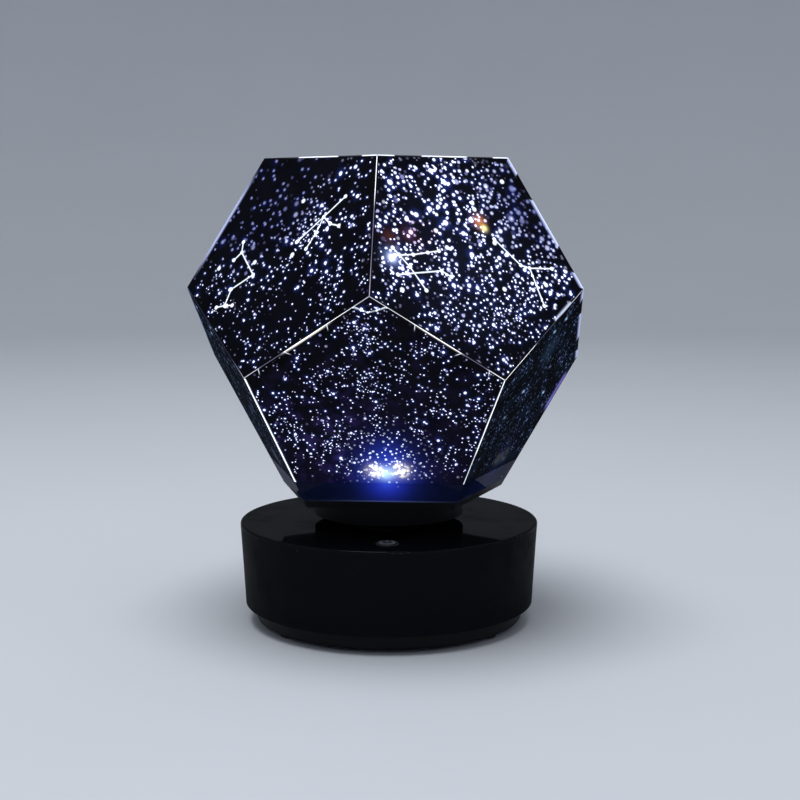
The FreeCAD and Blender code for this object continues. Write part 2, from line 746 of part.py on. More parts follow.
def make_leads():
    connector_face = value("connector_front_y")
    lamp_x = value("lead_spacing / 2")
    lamp_start = (0, value("led_board_underside"))
    solid_feature("lamp_leads", Part.makeCompound(
        [lead_shape(x, lamp_start, connector_face) for x in (-lamp_x, lamp_x)]))
    key_start = (value("key_lead_setback - key_distance"), value("key_board_underside"))
    key_x = value("key_lead_x")
    step = value("key_lead_spacing / 2")
    solid_feature("key_leads", Part.makeCompound(
        [lead_shape(x, key_start, connector_face) for x in (key_x - step, key_x + step)]))
    runs = []
    for index, side in enumerate(("-", "+"), start=1):
        run = cylinder(f"motor_lead_{index}", "lead_radius",
                       "connector_front_y - motor_y - motor_radius",
                       f"motor_lead_x {side} key_lead_spacing / 2", "motor_y + motor_radius",
                       "lead_level")
        run.Placement.Rotation = Rotation(Vector(1, 0, 0), -90)
        runs.append(run)
    group("motor_leads", *runs)


# ---------------------------------------------------------------- gear train

def gear_shape(teeth, width, phase):
    """A spur gear on the Z axis, standing on level 0, with a tooth centred on phase degrees.

    Each flank is the arc through three points of its involute; below the base circle it is
    radial. Half the backlash is taken from the thickness of each tooth."""
    module = value("gear_module")
    pitch = module * teeth / 2
    base = pitch * math.cos(PRESSURE_ANGLE)
    root = pitch - DEDENDUM * module
    tip = pitch + module
    start = max(base, root)
    involute = math.tan(PRESSURE_ANGLE) - PRESSURE_ANGLE
    half_tooth = (math.pi * module / 2 - value("backlash") / 2) / (2 * pitch) + involute

    def point(radius, angle):
        return Vector(radius * math.cos(angle), radius * math.sin(angle), 0)

    def half_angle(radius):
        pressure = math.acos(min(1.0, base / radius))
        return half_tooth - (math.tan(pressure) - pressure)

    middle = (start + tip) / 2
    step = 2 * math.pi / teeth
    edges = []
    for index in range(teeth):
        centre = math.radians(phase) + index * step
        rise = [point(radius, centre - half_angle(radius)) for radius in (start, middle, tip)]
        fall = [point(radius, centre + half_angle(radius)) for radius in (tip, middle, start)]
        foot = point(root, centre + half_angle(start))
        valley = point(root, centre + step / 2)
        next_foot = point(root, centre + step - half_angle(start))
        if root < base:
            edges.append(Part.LineSegment(point(root, centre - half_angle(start)), rise[0]))
        edges.append(Part.Arc(*rise))
        edges.append(Part.Arc(rise[2], point(tip, centre), fall[0]))
        edges.append(Part.Arc(*fall))
        if root < base:
            edges.append(Part.LineSegment(fall[2], foot))
        edges.append(Part.Arc(foot, valley, next_foot))
    wire = Part.Wire([edge.toShape() for edge in edges])
    return Part.Face(wire).extrude(Vector(0, 0, width))


def make_main_gear():
    """The gear under the deck. Its bore has the same two flats as its seat on the spindle."""
    width = value("gear_width")
    teeth = int(value("gear_teeth"))
    flat = value("gear_seat_flat")
    radius = value("gear_seat_radius")
    spare = value("overrun")
    seat = Part.makeCylinder(radius, width + 2 * spare, Vector(0, 0, -spare)).common(
        Part.makeBox(2 * flat, 2 * radius, width + 2 * spare, Vector(-flat, -radius, -spare)))
    root = value("gear_pitch_radius") - DEDENDUM * value("gear_module")
    web_outer = root - value("gear_rim_width")
    web_inner = radius + value("gear_hub_width")
    web_depth = width * value("gear_web_ratio")
    relief = Part.makeCylinder(web_outer, web_depth).cut(
        Part.makeCylinder(web_inner, web_depth))
    gear = gear_shape(teeth, width, -90).cut([seat, relief])
    feature = solid_feature("main_gear", gear)
    place(feature, z="gear_bottom")


def make_pinion_and_shaft():
    """The pinion stands in mesh with the main gear: one of its gaps faces the gear's tooth."""
    teeth = int(value("pinion_teeth"))
    width = value("gear_width + pinion_overlap")
    spare = value("overrun")
    bore = Part.makeCylinder(value("motor_shaft_radius"), width + 2 * spare,
                             Vector(0, 0, -spare))
    pinion = gear_shape(teeth, width, 90 + 180 / teeth).cut(bore)
    feature = solid_feature("drive_pinion", pinion)
    place(feature, y="motor_y", z="gear_bottom")
    shaft_end = "(plate_underside - motor_shaft_depth + motor_shaft_end_gap)"
    cylinder("motor_shaft", "motor_shaft_radius", f"gear_top + pinion_overlap - {shaft_end}",
             y="motor_y", z=shaft_end)


def make_gear_plate():
    screw_x = "plate_screw_spacing / 2"
    disc = cylinder("plate_disc", "plate_radius", "plate_thickness", z="plate_underside")
    strip = box("plate_strip", f"2 * ({screw_x} + post_boss_radius + plate_margin)",
                "2 * plate_radius", "plate_thickness", z="plate_underside")
    post_hole = drill("plate_post_hole", "post_radius", "plate_thickness",
                      z="plate_underside")
    motor_hole = drill("plate_motor_hole", "motor_collar_radius + motor_collar_clearance",
                       "plate_thickness", y="motor_y", z="plate_underside")
    screw_hole = drill("plate_screw_hole", "screw_radius + screw_hole_clearance",
                       "plate_thickness", screw_x, screw_x, "plate_underside")
    ear_holes = [drill(f"plate_ear_hole_{index}", "small_screw_radius", "plate_thickness",
                       y=f"motor_y {side} motor_ear_distance", z="plate_underside")
                 for index, side in enumerate(("-", "+"), start=1)]
    post_screw_hole = drill("plate_post_screw_hole", "small_screw_radius", "plate_thickness",
                            "post_screw_distance", z="plate_underside")
    cut("gear_plate", common("plate_blank", disc, strip), post_hole, motor_hole,
        four_corners("plate_holes", screw_hole), *ear_holes,
        pair("plate_post_screw_holes", post_screw_hole))
    plate_screw = screw("plate_screw", "screw", "plate_thickness", "screw_bite", screw_x,
                        screw_x, "plate_underside - screw_head_height")
    four_corners("plate_screws", plate_screw)


def make_motor():
    low = "plate_underside - motor_height"
    profile = [("0", "0"), ("motor_radius", "0"), ("motor_radius", "motor_height"),
               ("motor_collar_radius", "motor_height"),
               ("motor_collar_radius", "motor_height + motor_collar_height"),
               ("0", "motor_height + motor_collar_height")]
    can = lathe("motor_can", profile, [("motor_radius", "0", "motor_edge_round")],
                y="motor_y", z=low)
    ear_level = "plate_underside - motor_ear_thickness"
    bar = box("motor_bar", "2 * motor_ear_radius", "2 * motor_ear_distance",
              "motor_ear_thickness", y="motor_y", z=ear_level)
    terminals = box("motor_terminals", "connector_size", "motor_radius", "connector_height",
                    "motor_lead_x", "motor_y + motor_radius / 2",
                    "lead_level - connector_height / 2")
    ears = []
    holes = []
    for index, side in enumerate(("-", "+"), start=1):
        ear_y = f"motor_y {side} motor_ear_distance"
        ears.append(cylinder(f"motor_ear_{index}", "motor_ear_radius", "motor_ear_thickness",
                             y=ear_y, z=ear_level))
        holes.append(drill(f"motor_ear_hole_{index}",
                           "small_screw_radius + screw_hole_clearance",
                           "motor_ear_thickness", y=ear_y, z=ear_level))
    shaft_bore = cylinder("motor_shaft_bore", "motor_shaft_radius + shaft_clearance",
                          "motor_shaft_depth + motor_collar_height + overrun", y="motor_y",
                          z="plate_underside - motor_shaft_depth")
    cut("drive_motor", fuse("motor_blank", can, bar, terminals, *ears), shaft_bore, *holes)
    group("motor_screws", *[
        screw(f"motor_screw_{index}", "small_screw", "motor_ear_thickness", "small_screw_bite",
              "0", f"motor_y {side} motor_ear_distance",
              f"{ear_level} - small_screw_head_height")
        for index, side in enumerate(("-", "+"), start=1)])


# ---------------------------------------------------------------- lamp

def make_lamp():
    profile = [("post_bore_radius", "post_end"), ("post_flange_radius", "post_end"),
               ("post_flange_radius", "plate_underside"), ("post_radius", "plate_underside"),
               ("post_radius", "led_board_underside"),
               ("post_bore_radius", "led_board_underside")]
    post = lathe("post_tube", profile)
    hole = drill("post_screw_hole", "small_screw_radius + screw_hole_clearance",
                 "post_flange_thickness", "post_screw_distance", z="post_end")
    cut("lamp_post", post, pair("post_screw_holes", hole))
    post_screw = screw("post_screw", "small_screw", "post_flange_thickness",
                       "small_screw_bite", "post_screw_distance", "0",
                       "post_end - small_screw_head_height")
    pair("post_screws", post_screw)
    head_level = "led_board_underside - lamp_head_thickness"
    ring("lamp_head", "lamp_head_radius", "post_radius", "lamp_head_thickness", z=head_level)
    cylinder("led_board", "lamp_head_radius - lamp_head_lip", "board_thickness",
             z="led_board_underside")
    box("led_emitter", "led_size", "led_size", "led_thickness", z="led_board_top")
    dome = add("Part::Sphere", "led_dome")
    bind(dome, Radius="led_dome_radius")
    dome.Angle1 = 0
    place(dome, z="led_board_top + led_thickness")


# ---------------------------------------------------------------- power key

def make_power_key():
    profile = [("0", "plunger_top"), ("key_stem_radius", "plunger_top"),
               ("key_stem_radius", "key_flange_bottom"),
               ("key_radius + key_flange_width", "key_flange_bottom"),
               ("key_radius + key_flange_width", "key_flange_top"),
               ("key_radius", "key_flange_top"), ("key_radius", "key_top"), ("0", "key_top")]
    lathe("power_key", profile, [("key_radius", "key_top", "key_round")], y="-key_distance")
    cylinder("switch_plunger", "plunger_radius", "plunger_height", y="-key_distance",
             z="plunger_bottom")
    case = box("switch_case", "switch_size", "switch_size", "switch_height",
               y="-key_distance", z="key_board_top")
    well = cylinder("switch_well", "plunger_radius + plunger_clearance", "plunger_height",
                    y="-key_distance", z="plunger_bottom - key_travel - plunger_clearance")
    cut("tact_switch", case, well)
    board = box("key_board_blank", "key_board_width", "key_board_depth", "board_thickness",
                y="-key_distance", z="key_board_underside")
    hole = drill("key_board_hole", "board_peg_radius", "board_thickness",
                 "key_post_spacing / 2", "-key_distance", "key_board_underside")
    cut("key_board", board, pair("key_board_holes", hole))


# ---------------------------------------------------------------- turntable

def make_turntable():
    groove = "gear_seat_radius - clip_groove"
    profile = [("spindle_bore_radius", "spindle_end"), ("gear_seat_radius", "spindle_end"),
               ("gear_seat_radius", "clip_bottom"), (groove, "clip_bottom"),
               (groove, "gear_bottom"), ("gear_seat_radius", "gear_bottom"),
               ("gear_seat_radius", "gear_top"), ("spindle_radius", "gear_top"),
               ("spindle_radius", "turntable_underside"),
               ("drum_radius", "turntable_underside"), ("drum_radius", "tray_underside"),
               ("drum_radius - drum_wall", "tray_underside"),
               ("drum_radius - drum_wall", "turntable_top"),
               ("spindle_bore_radius", "turntable_top")]
    drum = lathe("turntable_drum", profile)
    flat = box("spindle_flat", "spindle_radius", "2 * spindle_radius", "gear_width",
               "gear_seat_flat + spindle_radius / 2", "0", "gear_bottom")
    cut("turntable", drum, flat, mirrored(flat, Vector(1, 0, 0)))
    washer = ring("clip_ring", f"{groove} + clip_width", groove, "clip_thickness",
                  z="clip_bottom")
    gap = pocket("clip_gap", "clip_opening", "spindle_radius + clip_width", "clip_thickness",
                 y="(spindle_radius + clip_width) / 2", z="clip_bottom")
    cut("retaining_clip", washer, gap)


def make_bearing():
    profile = [("bearing_radius", "boss_bottom"), ("bush_radius", "boss_bottom"),
               ("bush_radius", "boss_top"), ("bush_radius + bush_flange_width", "boss_top"),
               ("bush_radius + bush_flange_width", "bush_top"), ("bearing_radius", "bush_top")]
    lathe("bearing_bush", profile)
    ring("thrust_washer", "bearing_radius + washer_width", "bearing_radius",
         "washer_thickness", z="bush_top")


# ---------------------------------------------------------------- star dome

def pentagon(radius, first):
    """Corner expressions of a regular pentagon with its first corner at an angle in degrees."""
    return [(f"({radius}) * cos({first + 72 * index} deg)",
             f"({radius}) * sin({first + 72 * index} deg)") for index in range(5)]


def turned_by(azimuth):
    """The horizontal direction at an azimuth in degrees, counted from the front towards -X."""
    angle = math.radians(azimuth)
    return Vector(-math.sin(angle), -math.cos(angle), 0)


def face_normal(azimuth, side):
    """The outward normal of a side face; side is 1 for an upper face and -1 for a lower one."""
    lean = math.radians(FACE_LEAN) * side
    return turned_by(azimuth) * math.cos(lean) + Vector(0, 0, math.sin(lean))


def up_slope(azimuth, side):
    """The direction straight up a side face."""
    lean = math.radians(FACE_LEAN) * side
    return turned_by(azimuth) * -math.sin(lean) + Vector(0, 0, math.cos(lean))


def panel_placement(normal, point_direction):
    """Local Z along the outward normal and local Y towards the panel's lone corner."""
    across = point_direction.cross(normal)
    centre = Vector(0, 0, value("dome_centre"))
    return Placement(centre + normal * value("dome_inradius"),
                     Rotation(across, point_direction, normal, "ZXY"))


def make_panel(label, placement, points):
    """A flat film panel whose edges are mitred for the neighbours it meets."""
    body = add("PartDesign::Body", label)
    film = body.newObject("PartDesign::Pad", label + "_film")
    film.Profile = outline(body, label + "_outline", points)
    film.Reversed = True
    film.TaperAngle = -MITRE
    bind(film, Length="film_thickness")
    body.Placement = placement


def make_panels(turn):
    inset = "(face_circumradius - seam_gap / (2 * cos(36 deg)))"
    whole = pentagon(inset, 90)
    cut_level = f"(collar_height + seam_gap / 2) / {LEAN_COS:.10f} - face_inradius"
    cut_half = (f"{inset} * cos(54 deg) + ({cut_level} + {inset} * sin(54 deg))"
                " * tan(18 deg)")
    cropped = [whole[0], whole[1], (f"-({cut_half})", cut_level), (cut_half, cut_level),
               whole[4]]
    top_point = turned_by(turn)
    make_panel("panel_top", panel_placement(Vector(0, 0, 1), top_point), whole)
    for index in range(5):
        lower = turn + 72 * index
        upper = lower + 36
        make_panel(f"panel_lower_{index + 1}",
                   panel_placement(face_normal(lower, -1), up_slope(lower, -1)), cropped)
        make_panel(f"panel_upper_{index + 1}",
                   panel_placement(face_normal(upper, 1), up_slope(upper, 1) * -1), whole)


def tab_pair(first, second):
    """The two folded glue tabs behind the seam between two faces, given by their normals.

    Each tab is two trapezoid leaves that lie on the inner sides of the two panels."""
    centre = Vector(0, 0, value("dome_centre"))
    outward = (first + second).normalize()
    along = first.cross(second).normalize()
    shrink = 1 - value("film_thickness") / value("dome_inradius")
    fold = centre + outward * (value("dome_midradius") * shrink)
    half = value("tab_length") / 2
    width = value("tab_width")
    narrow = half - width * math.tan(math.radians(value("tab_slant")))
    reach = value("pentagon_edge") / 2 - value("tab_corner_distance")
    tabs = []
    for shift in (-reach, reach):
        root = fold + along * shift
        leaves = []
        for normal in (first, second):
            inwards = along.cross(normal)
            if inwards.dot(outward) > 0:
                inwards = inwards * -1
            corners = [root - along * half, root + along * half,
                       root + inwards * width + along * narrow,
                       root + inwards * width - along * narrow]
            leaf = Part.Face(Part.makePolygon(corners + corners[:1]))
            leaves.append(leaf.extrude(normal * -value("tab_thickness")))
        tabs.append(leaves[0].fuse(leaves[1]))
    return tabs


def make_tabs(turn):
    top = Vector(0, 0, 1)
    upper = [face_normal(turn + 36 + 72 * index, 1) for index in range(5)]
    lower = [face_normal(turn + 72 * index, -1) for index in range(5)]
    top_seams = [(top, face) for face in upper]
    upper_seams = [(upper[index - 1], upper[index]) for index in range(5)]
    belt_seams = [(upper[index - shift], lower[index]) for index in range(5)
                  for shift in (0, 1)]
    for label, seams in (("top_tabs", top_seams), ("upper_tabs", upper_seams),
                         ("belt_tabs", belt_seams)):
        tabs = [tab for first, second in seams for tab in tab_pair(first, second)]
        solid_feature(label, Part.makeCompound(tabs))


def pentagon_block(label, radius, height, turn, down=False):
    """A pentagonal block on the dome's bottom plane, turned with the dome: its sides lean as
    the lower panels do. A block that runs down shrinks instead."""
    body = add("PartDesign::Body", label)
    pad = body.newObject("PartDesign::Pad", label + "_pad")
    pad.Profile = outline(body, label + "_outline", pentagon(radius, SIDE_TO_FRONT))
    pad.Reversed = down
    pad.TaperAngle = -FACE_LEAN if down else FACE_LEAN
    bind(pad, Length=height)
    body.Placement = Placement(Vector(), Rotation(Vector(0, 0, 1), -turn))
    return bind(body, Placement__Base__z="dome_bottom")


def make_collar(turn):
    """A clear pentagonal collar under the film: an outer wall in line with the panels, and a
    taller inner tongue that lies behind them."""
    film = f"film_thickness / ({LEAN_COS:.10f} * cos(36 deg))"
    tongue = f"(film_thickness + collar_tongue_wall) / ({LEAN_COS:.10f} * cos(36 deg))"
    outer = pentagon_block("collar_wall", "face_circumradius", "collar_height", turn)
    inner = pentagon_block("collar_tongue", f"face_circumradius - {film}",
                           "collar_height + collar_tongue", turn)
    room = pentagon_block("collar_room", f"face_circumradius - {tongue}",
                          "collar_height + collar_tongue + overrun", turn)
    cut("dome_collar", fuse("collar_blank", outer, inner), room)


def make_tray(turn):
    """The black tray that carries the collar: its sides run on from the panels, and a round
    spigot under it drops into the turntable's drum."""
    plate = pentagon_block("tray_plate", "face_circumradius", "tray_thickness", turn,
                           down=True)
    spigot_radius = "drum_radius - drum_wall - spigot_clearance"
    spigot = ring("tray_spigot", spigot_radius, f"{spigot_radius} - spigot_wall",
                  "spigot_height + tray_thickness / 2", z="tray_underside - spigot_height")
    hole = drill("tray_hole", "tray_hole_radius", "tray_thickness + spigot_height",
                 z="tray_underside - spigot_height")
    cut("dome_tray", fuse("tray_blank", plate, spigot), hole)


# ---------------------------------------------------------------- the whole projector

NODES = ["base_shell", "bottom_cover", "rubber_feet", "cover_screws", "battery_holder",
         "battery_door", "door_screw", "battery_cells", "battery_springs", "battery_contacts",
         "main_board", "board_components", "usb_socket", "lamp_leads", "key_leads",
         "motor_leads", "gear_plate", "plate_screws", "drive_motor", "motor_screws",
         "bearing_bush", "thrust_washer", "lamp_post", "post_screws", "lamp_head", "led_board",
         "led_emitter", "led_dome", "tact_switch", "key_board", "power_key", "switch_plunger",
         "drive_pinion", "motor_shaft", "main_gear", "turntable", "retaining_clip",
         "dome_tray", "dome_collar", "panel_top", "top_tabs", "upper_tabs", "belt_tabs"]
NODES += [f"panel_{row}_{index}" for row in ("upper", "lower") for index in range(1, 6)]


def build():
    make_base_shell()
    make_bottom_cover()
    make_base_fasteners_and_feet()
    make_battery_bay()
    make_battery_door()
    make_cells_and_contacts()
    make_main_board()
    make_usb_socket()
    make_leads()
    make_gear_plate()
    make_motor()
    make_main_gear()
    make_pinion_and_shaft()
    make_bearing()
    make_lamp()
    make_power_key()
    make_turntable()
    turn = value("dome_turn")
    make_tray(turn)
    make_collar(turn)
    make_panels(turn)
    make_tabs(turn)
    doc.recompute()


def check_and_export():
    """Stop on any failed object or bad shape, then write each node's STEP file."""
    for thing in doc.Objects:
        if {"Invalid", "Error"} & set(thing.State):
            raise RuntimeError(f"{thing.Label} failed: {thing.State}")
    by_label = {thing.Label: thing for thing in doc.Objects}
    for node in NODES:
        shape = by_label[node].Shape
        if shape.isNull() or not shape.isValid() or not shape.Solids:
            raise RuntimeError(f"{node} has no valid solid")
    os.makedirs("parts", exist_ok=True)
    for node in NODES:
        by_label[node].Shape.exportStep(f"parts/{node}.step")


build()
check_and_export()
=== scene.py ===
import json
import math

import bpy
import numpy as np
from bpy.props import FloatProperty, FloatVectorProperty, PointerProperty
from bpy.types import Operator, Panel, PropertyGroup
from mathutils import Matrix, Vector


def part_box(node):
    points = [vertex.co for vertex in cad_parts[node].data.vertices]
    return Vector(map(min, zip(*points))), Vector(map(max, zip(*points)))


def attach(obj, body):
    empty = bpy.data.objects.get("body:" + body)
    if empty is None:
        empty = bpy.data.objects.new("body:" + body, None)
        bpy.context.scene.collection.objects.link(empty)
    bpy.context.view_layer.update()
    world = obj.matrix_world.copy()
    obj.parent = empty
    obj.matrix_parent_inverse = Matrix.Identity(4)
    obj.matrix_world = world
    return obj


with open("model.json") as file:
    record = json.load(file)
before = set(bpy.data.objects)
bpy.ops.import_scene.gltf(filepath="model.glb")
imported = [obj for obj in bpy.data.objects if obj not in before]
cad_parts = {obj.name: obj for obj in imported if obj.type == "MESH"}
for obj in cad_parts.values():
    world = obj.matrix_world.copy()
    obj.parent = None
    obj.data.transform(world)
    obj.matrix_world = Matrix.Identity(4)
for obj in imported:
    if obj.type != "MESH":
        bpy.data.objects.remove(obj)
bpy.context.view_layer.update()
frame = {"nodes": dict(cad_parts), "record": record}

bl_info = {
    "name": "Planetarium projector",
    "version": (1, 0, 0),
    "blender": (4, 5, 0),
    "location": "View3D > Sidebar > Projector",
    "description": "Finishes and fine pieces of a pinhole planetarium projector",
    "category": "Object",
}

MM = 0.001

# A regular dodecahedron whose edge is 1: its height, and the inner radius of it and of a face.
DOME_HEIGHT = 2.2270327288
DOME_INRADIUS = DOME_HEIGHT / 2
FACE_INRADIUS = 0.6881909602
# How far its side faces lean, and half the angle between two corners of a face.
FACE_LEAN = math.atan(0.5)
HALF_CORNER = math.radians(36)

DOME_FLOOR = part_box("dome_collar")[0].z
EDGE = (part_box("panel_top")[1].z - DOME_FLOOR) / DOME_HEIGHT
EDGE_MM = EDGE / MM
DOME_CENTRE = Vector((0, 0, DOME_FLOOR + DOME_INRADIUS * EDGE))

# The glue tabs behind a seam, in millimetres: middle and half length along the seam, how far
# they reach from it, and how much they narrow on the way.
TAB_MIDDLE = EDGE_MM / 2 - 13.5
TAB_HALF = 6.3
TAB_WIDTH = 5.0
TAB_SLANT = math.tan(math.radians(35))
SEAM_WIDTH = 0.25 * MM


def azimuth_of(node):
    """The angle of a CAD node's middle about Z, counted from the front towards -X.

    The middle is the mean of the distinct corners of its mesh."""
    mesh = frame["nodes"][node].data
    points = np.empty(3 * len(mesh.vertices))
    mesh.vertices.foreach_get("co", points)
    middle = np.unique(points.reshape(-1, 3).round(6), axis=0).mean(axis=0)
    return math.atan2(-middle[0], -middle[1])


DOME_TURN = azimuth_of("panel_lower_1")


# -------- the dome's geometry

def outwards(azimuth):
    """The horizontal direction at an azimuth."""
    return Vector((-math.sin(azimuth), -math.cos(azimuth), 0))


def panel_axes(panel):
    """A panel's local axes X, Y towards its lone corner, and Z along its outward normal."""
    if panel == "top":
        return panel_matrix(outwards(DOME_TURN), Vector((0, 0, 1)))
    row, index = panel.split("_")
    side = 1 if row == "upper" else -1
    azimuth = DOME_TURN + 2 * HALF_CORNER * (int(index) - 1) + (side > 0) * HALF_CORNER
    lean = FACE_LEAN * side
    ahead = outwards(azimuth)
    normal = ahead * math.cos(lean) + Vector((0, 0, math.sin(lean)))
    slope = ahead * -math.sin(lean) + Vector((0, 0, math.cos(lean)))
    return panel_matrix(slope * -side, normal)


def panel_matrix(point, normal):
    return Matrix((point.cross(normal), point, normal)).transposed()


def panel_middle(axes):
    """The middle of the panel that has these axes."""
    return DOME_CENTRE + axes.col[2] * (DOME_INRADIUS * EDGE)


# The panels: their nodes' names without the first word.
PANELS = ["top"] + [f"{row}_{index}" for row in ("upper", "lower") for index in range(1, 6)]


def sky_shift(panel):
    """Every panel looks at another part of one sky: how far it lies off, in millimetres."""
    return Vector((1, 2, 0)) * (37.0 * PANELS.index(panel))


# -------- shader building

class Signal:
    """A shader socket that reads like a number, a vector or a colour: each operator and method
    adds the node that it stands for."""

    def __init__(self, recipe, socket):
        self.recipe = recipe
        self.socket = socket

    def maths(self, operation, *others, output=0):
        return self.recipe.maths(operation, self, *others, output=output)

    def __add__(self, other):
        return self.maths("ADD", other)

    def __sub__(self, other):
        return self.maths("SUBTRACT", other)

    def __rsub__(self, other):
        return self.recipe.maths("SUBTRACT", other, self)

    def __mul__(self, other):
        return self.maths("MULTIPLY", other)

    def __truediv__(self, other):
        return self.maths("DIVIDE", other)

    def __neg__(self):
        return self * -1

    def __abs__(self):
        return self.maths("ABSOLUTE")

    __radd__ = __add__
    __rmul__ = __mul__

    def also(self, output):
        """Another output of the node that this one comes from."""
        return Signal(self.recipe, self.socket.node.outputs[output])

    # numbers

    def least(self, other):
        return self.maths("MINIMUM", other)

    def most(self, other):
        return self.maths("MAXIMUM", other)

    def hypot(self, other):
        """How long the vector of these two parts is."""
        return self.recipe.node("CombineXYZ", {}, {0: self, 1: other}).maths("LENGTH", output=1)

    def ramp(self, start, end):
        """0 where this is at start and 1 where it is at end, with a smooth turn at both."""
        return self.recipe.node("MapRange", {"interpolation_type": "SMOOTHSTEP"},
                                {"Value": self, "From Min": start, "From Max": end})

    def bell(self, width):
        """1 where this distance is 0, falling off as a bell curve of that width."""
        share = self / width
        return (-(share * share)).maths("EXPONENT")

    def mix(self, first, second):
        """The first colour where this is 0 and the second where it is 1."""
        return self.recipe.node("Mix", {"data_type": "RGBA"}, {0: self, 6: first, 7: second}, 2)

    def bumps(self, depth, strength):
        """A normal from this height of 0 to 1, which stands for depth in millimetres."""
        inputs = {"Height": self, "Distance": depth * MM, "Strength": strength}
        return self.recipe.node("Bump", {}, inputs)

    # points

    def split(self):
        parts = self.recipe.node("SeparateXYZ", {}, {0: self})
        return parts, parts.also(1), parts.also(2)

    def apart(self, spot):
        """How far this point lies from a spot that is given by its X and Y."""
        return self.maths("DISTANCE", (*spot, 0), output=1)

    def turned(self, angle):
        """This vector turned about Z."""
        return self.recipe.node("VectorRotate", {"rotation_type": "Z_AXIS"},
                                {"Vector": self, "Angle": angle})

    def noise(self, size, detail=2.0, rough=0.5, flat=False):
        """Cloudy noise from 0 to 1 whose features are about size across."""
        inputs = {"Vector": self, "Scale": 1 / size, "Detail": detail, "Roughness": rough}
        return self.recipe.node("TexNoise", {"noise_dimensions": "2D" if flat else "3D"}, inputs)

    def cells(self, size, flat=False, feature="F1"):
        """How far this point lies from the nearest of scattered points about size apart."""
        settings = {"voronoi_dimensions": "2D" if flat else "3D", "feature": feature}
        return self.recipe.node("TexVoronoi", settings, {"Vector": self, "Scale": 1 / size})

    def dots(self, size, radius, core):
        """Round dots, one to a cell: 1 out to core and 0 past radius, in millimetres."""
        return (self.cells(size) * size).ramp(radius, core)


def is_number(value):
    if isinstance(value, Signal):
        return value.socket.type == "VALUE"
    return isinstance(value, (int, float))


class Recipe:
    """The nodes of a material or a world."""

    def __init__(self, owner):
        owner.use_nodes = True
        self.nodes = owner.node_tree.nodes
        self.links = owner.node_tree.links
        self.nodes.clear()

    def plug(self, socket, source):
        if isinstance(source, Signal):
            self.links.new(source.socket, socket)
        elif socket.type == "VECTOR" and is_number(source):
            socket.default_value = (source, source, source)
        elif socket.type == "RGBA" and len(source) == 3:
            socket.default_value = (*source, 1)
        else:
            socket.default_value = source

    def node(self, kind, settings, inputs, output=0):
        """A node of a type: its settings first, then its sockets' values or links."""
        made = self.nodes.new("ShaderNode" + kind)
        for name, setting in settings.items():
            setattr(made, name, setting)
        for key, source in inputs.items():
            self.plug(made.inputs[key], source)
        return None if output is None else Signal(self, made.outputs[output])

    def maths(self, operation, *values, output=0):
        """A Math node, or a Vector Math node where a value is a vector or a colour."""
        kind = "Math" if all(map(is_number, values)) else "VectorMath"
        return self.node(kind, {"operation": operation}, dict(enumerate(values)), output)

    def place(self, centre=(0, 0, 0), turn=(0, 0, 0)):
        """Object coordinates in millimetres, seen from a centre and turned."""
        where = self.node("TexCoord", {}, {}, "Object")
        inputs = {"Vector": where, "Location": centre, "Rotation": turn, "Scale": (MM, MM, MM)}
        return self.node("Mapping", {"vector_type": "TEXTURE"}, inputs)


def finished(name, look, *details, place=()):
    """A material whose Principled shader is fed with what a look makes of a point.

    The look names the shader's sockets, with an underscore for a space."""
    material = bpy.data.materials.new(name)
    recipe = Recipe(material)
    sockets = look(recipe.place(*place), *details)
    named = {socket.replace("_", " "): source for socket, source in sockets.items()}
    shader = recipe.node("BsdfPrincipled", {}, named)
    recipe.node("OutputMaterial", {}, {"Surface": shader}, None)
    return material


# -------- star film

# Layers of stars: the size of a layer's cells, its smallest and largest star in millimetres,
# the share of cells that hold one, and how far they gather in clusters.
UPPER_SKY = [(1.6, 0.24, 0.38, 0.19, 0.9), (2.5, 0.42, 0.62, 0.46, 0.4), (6, 0.72, 0.95, 0.34, 0.3)]
LOWER_SKY = [(1.3, 0.18, 0.29, 0.2, 0.9), (2.2, 0.3, 0.45, 0.42, 0.6), (5.5, 0.52, 0.72, 0.3, 0.3)]
HEART_SKY = (2, 0.85, 1.15, 1, 0)
NEAR_SKY = (2.5, 0.42, 0.62, 0.5, 0)

# Constellation figures: chains of points on a panel, in millimetres from its middle.
CROSSED_BRANCH = [
    [(-21, -24), (-13.4, -15.5), (-3.7, -4.9)],
    [(-13.4, -15.5), (-12.1, -8.7), (-9.7, -2.2)],
    [(-13.4, -15.5), (-17.9, -12.6), (-22.5, -11.9)],
    [(25.2, -4.4), (24.1, 0), (13.7, 9.2), (22.9, 15.7), (23.5, 22.6)],
    [(24.1, 0), (27, 3.4)], [(27.7, 23.6), (23.5, 22.6), (19.4, 22.3)],
]
BRANCH_AND_BARS = [
    [(33.4, -0.1), (25.6, -0.2), (14, -1.5)], [(34.3, 7.6), (15.1, 6.6), (11.5, 9.1)],
    [(33.6, -3.1), (28.3, 4.8), (23.9, 14.2)],
    [(-12.5, -6), (-21.5, 5.1), (-25.3, 6.4), (-27.2, 22.2)], [(-25.3, 6.4), (-35.8, 6.9)],
]
LADLE = [[(-20, 14), (-12.5, 12), (-6, 7.5), (1.5, 4), (3, -4.5), (13, -6), (14.5, 3.5), (1.5, 4)]]
ZIGZAG = [[(-16, 6), (-9, -3), (-1, 4), (7, -5), (15, 5)]]
CROSS = [[(-3, 22), (0, 6), (4, -18)], [(-15, 9), (0, 6), (16, 0)]]
HOURGLASS = [[(-9, 18), (-3, 2), (-8, -16)], [(9, 16), (3.5, 1), (10, -15)],
             [(-3, 2), (0.2, 1.4), (3.5, 1)], [(-9, 18), (9, 16)]]
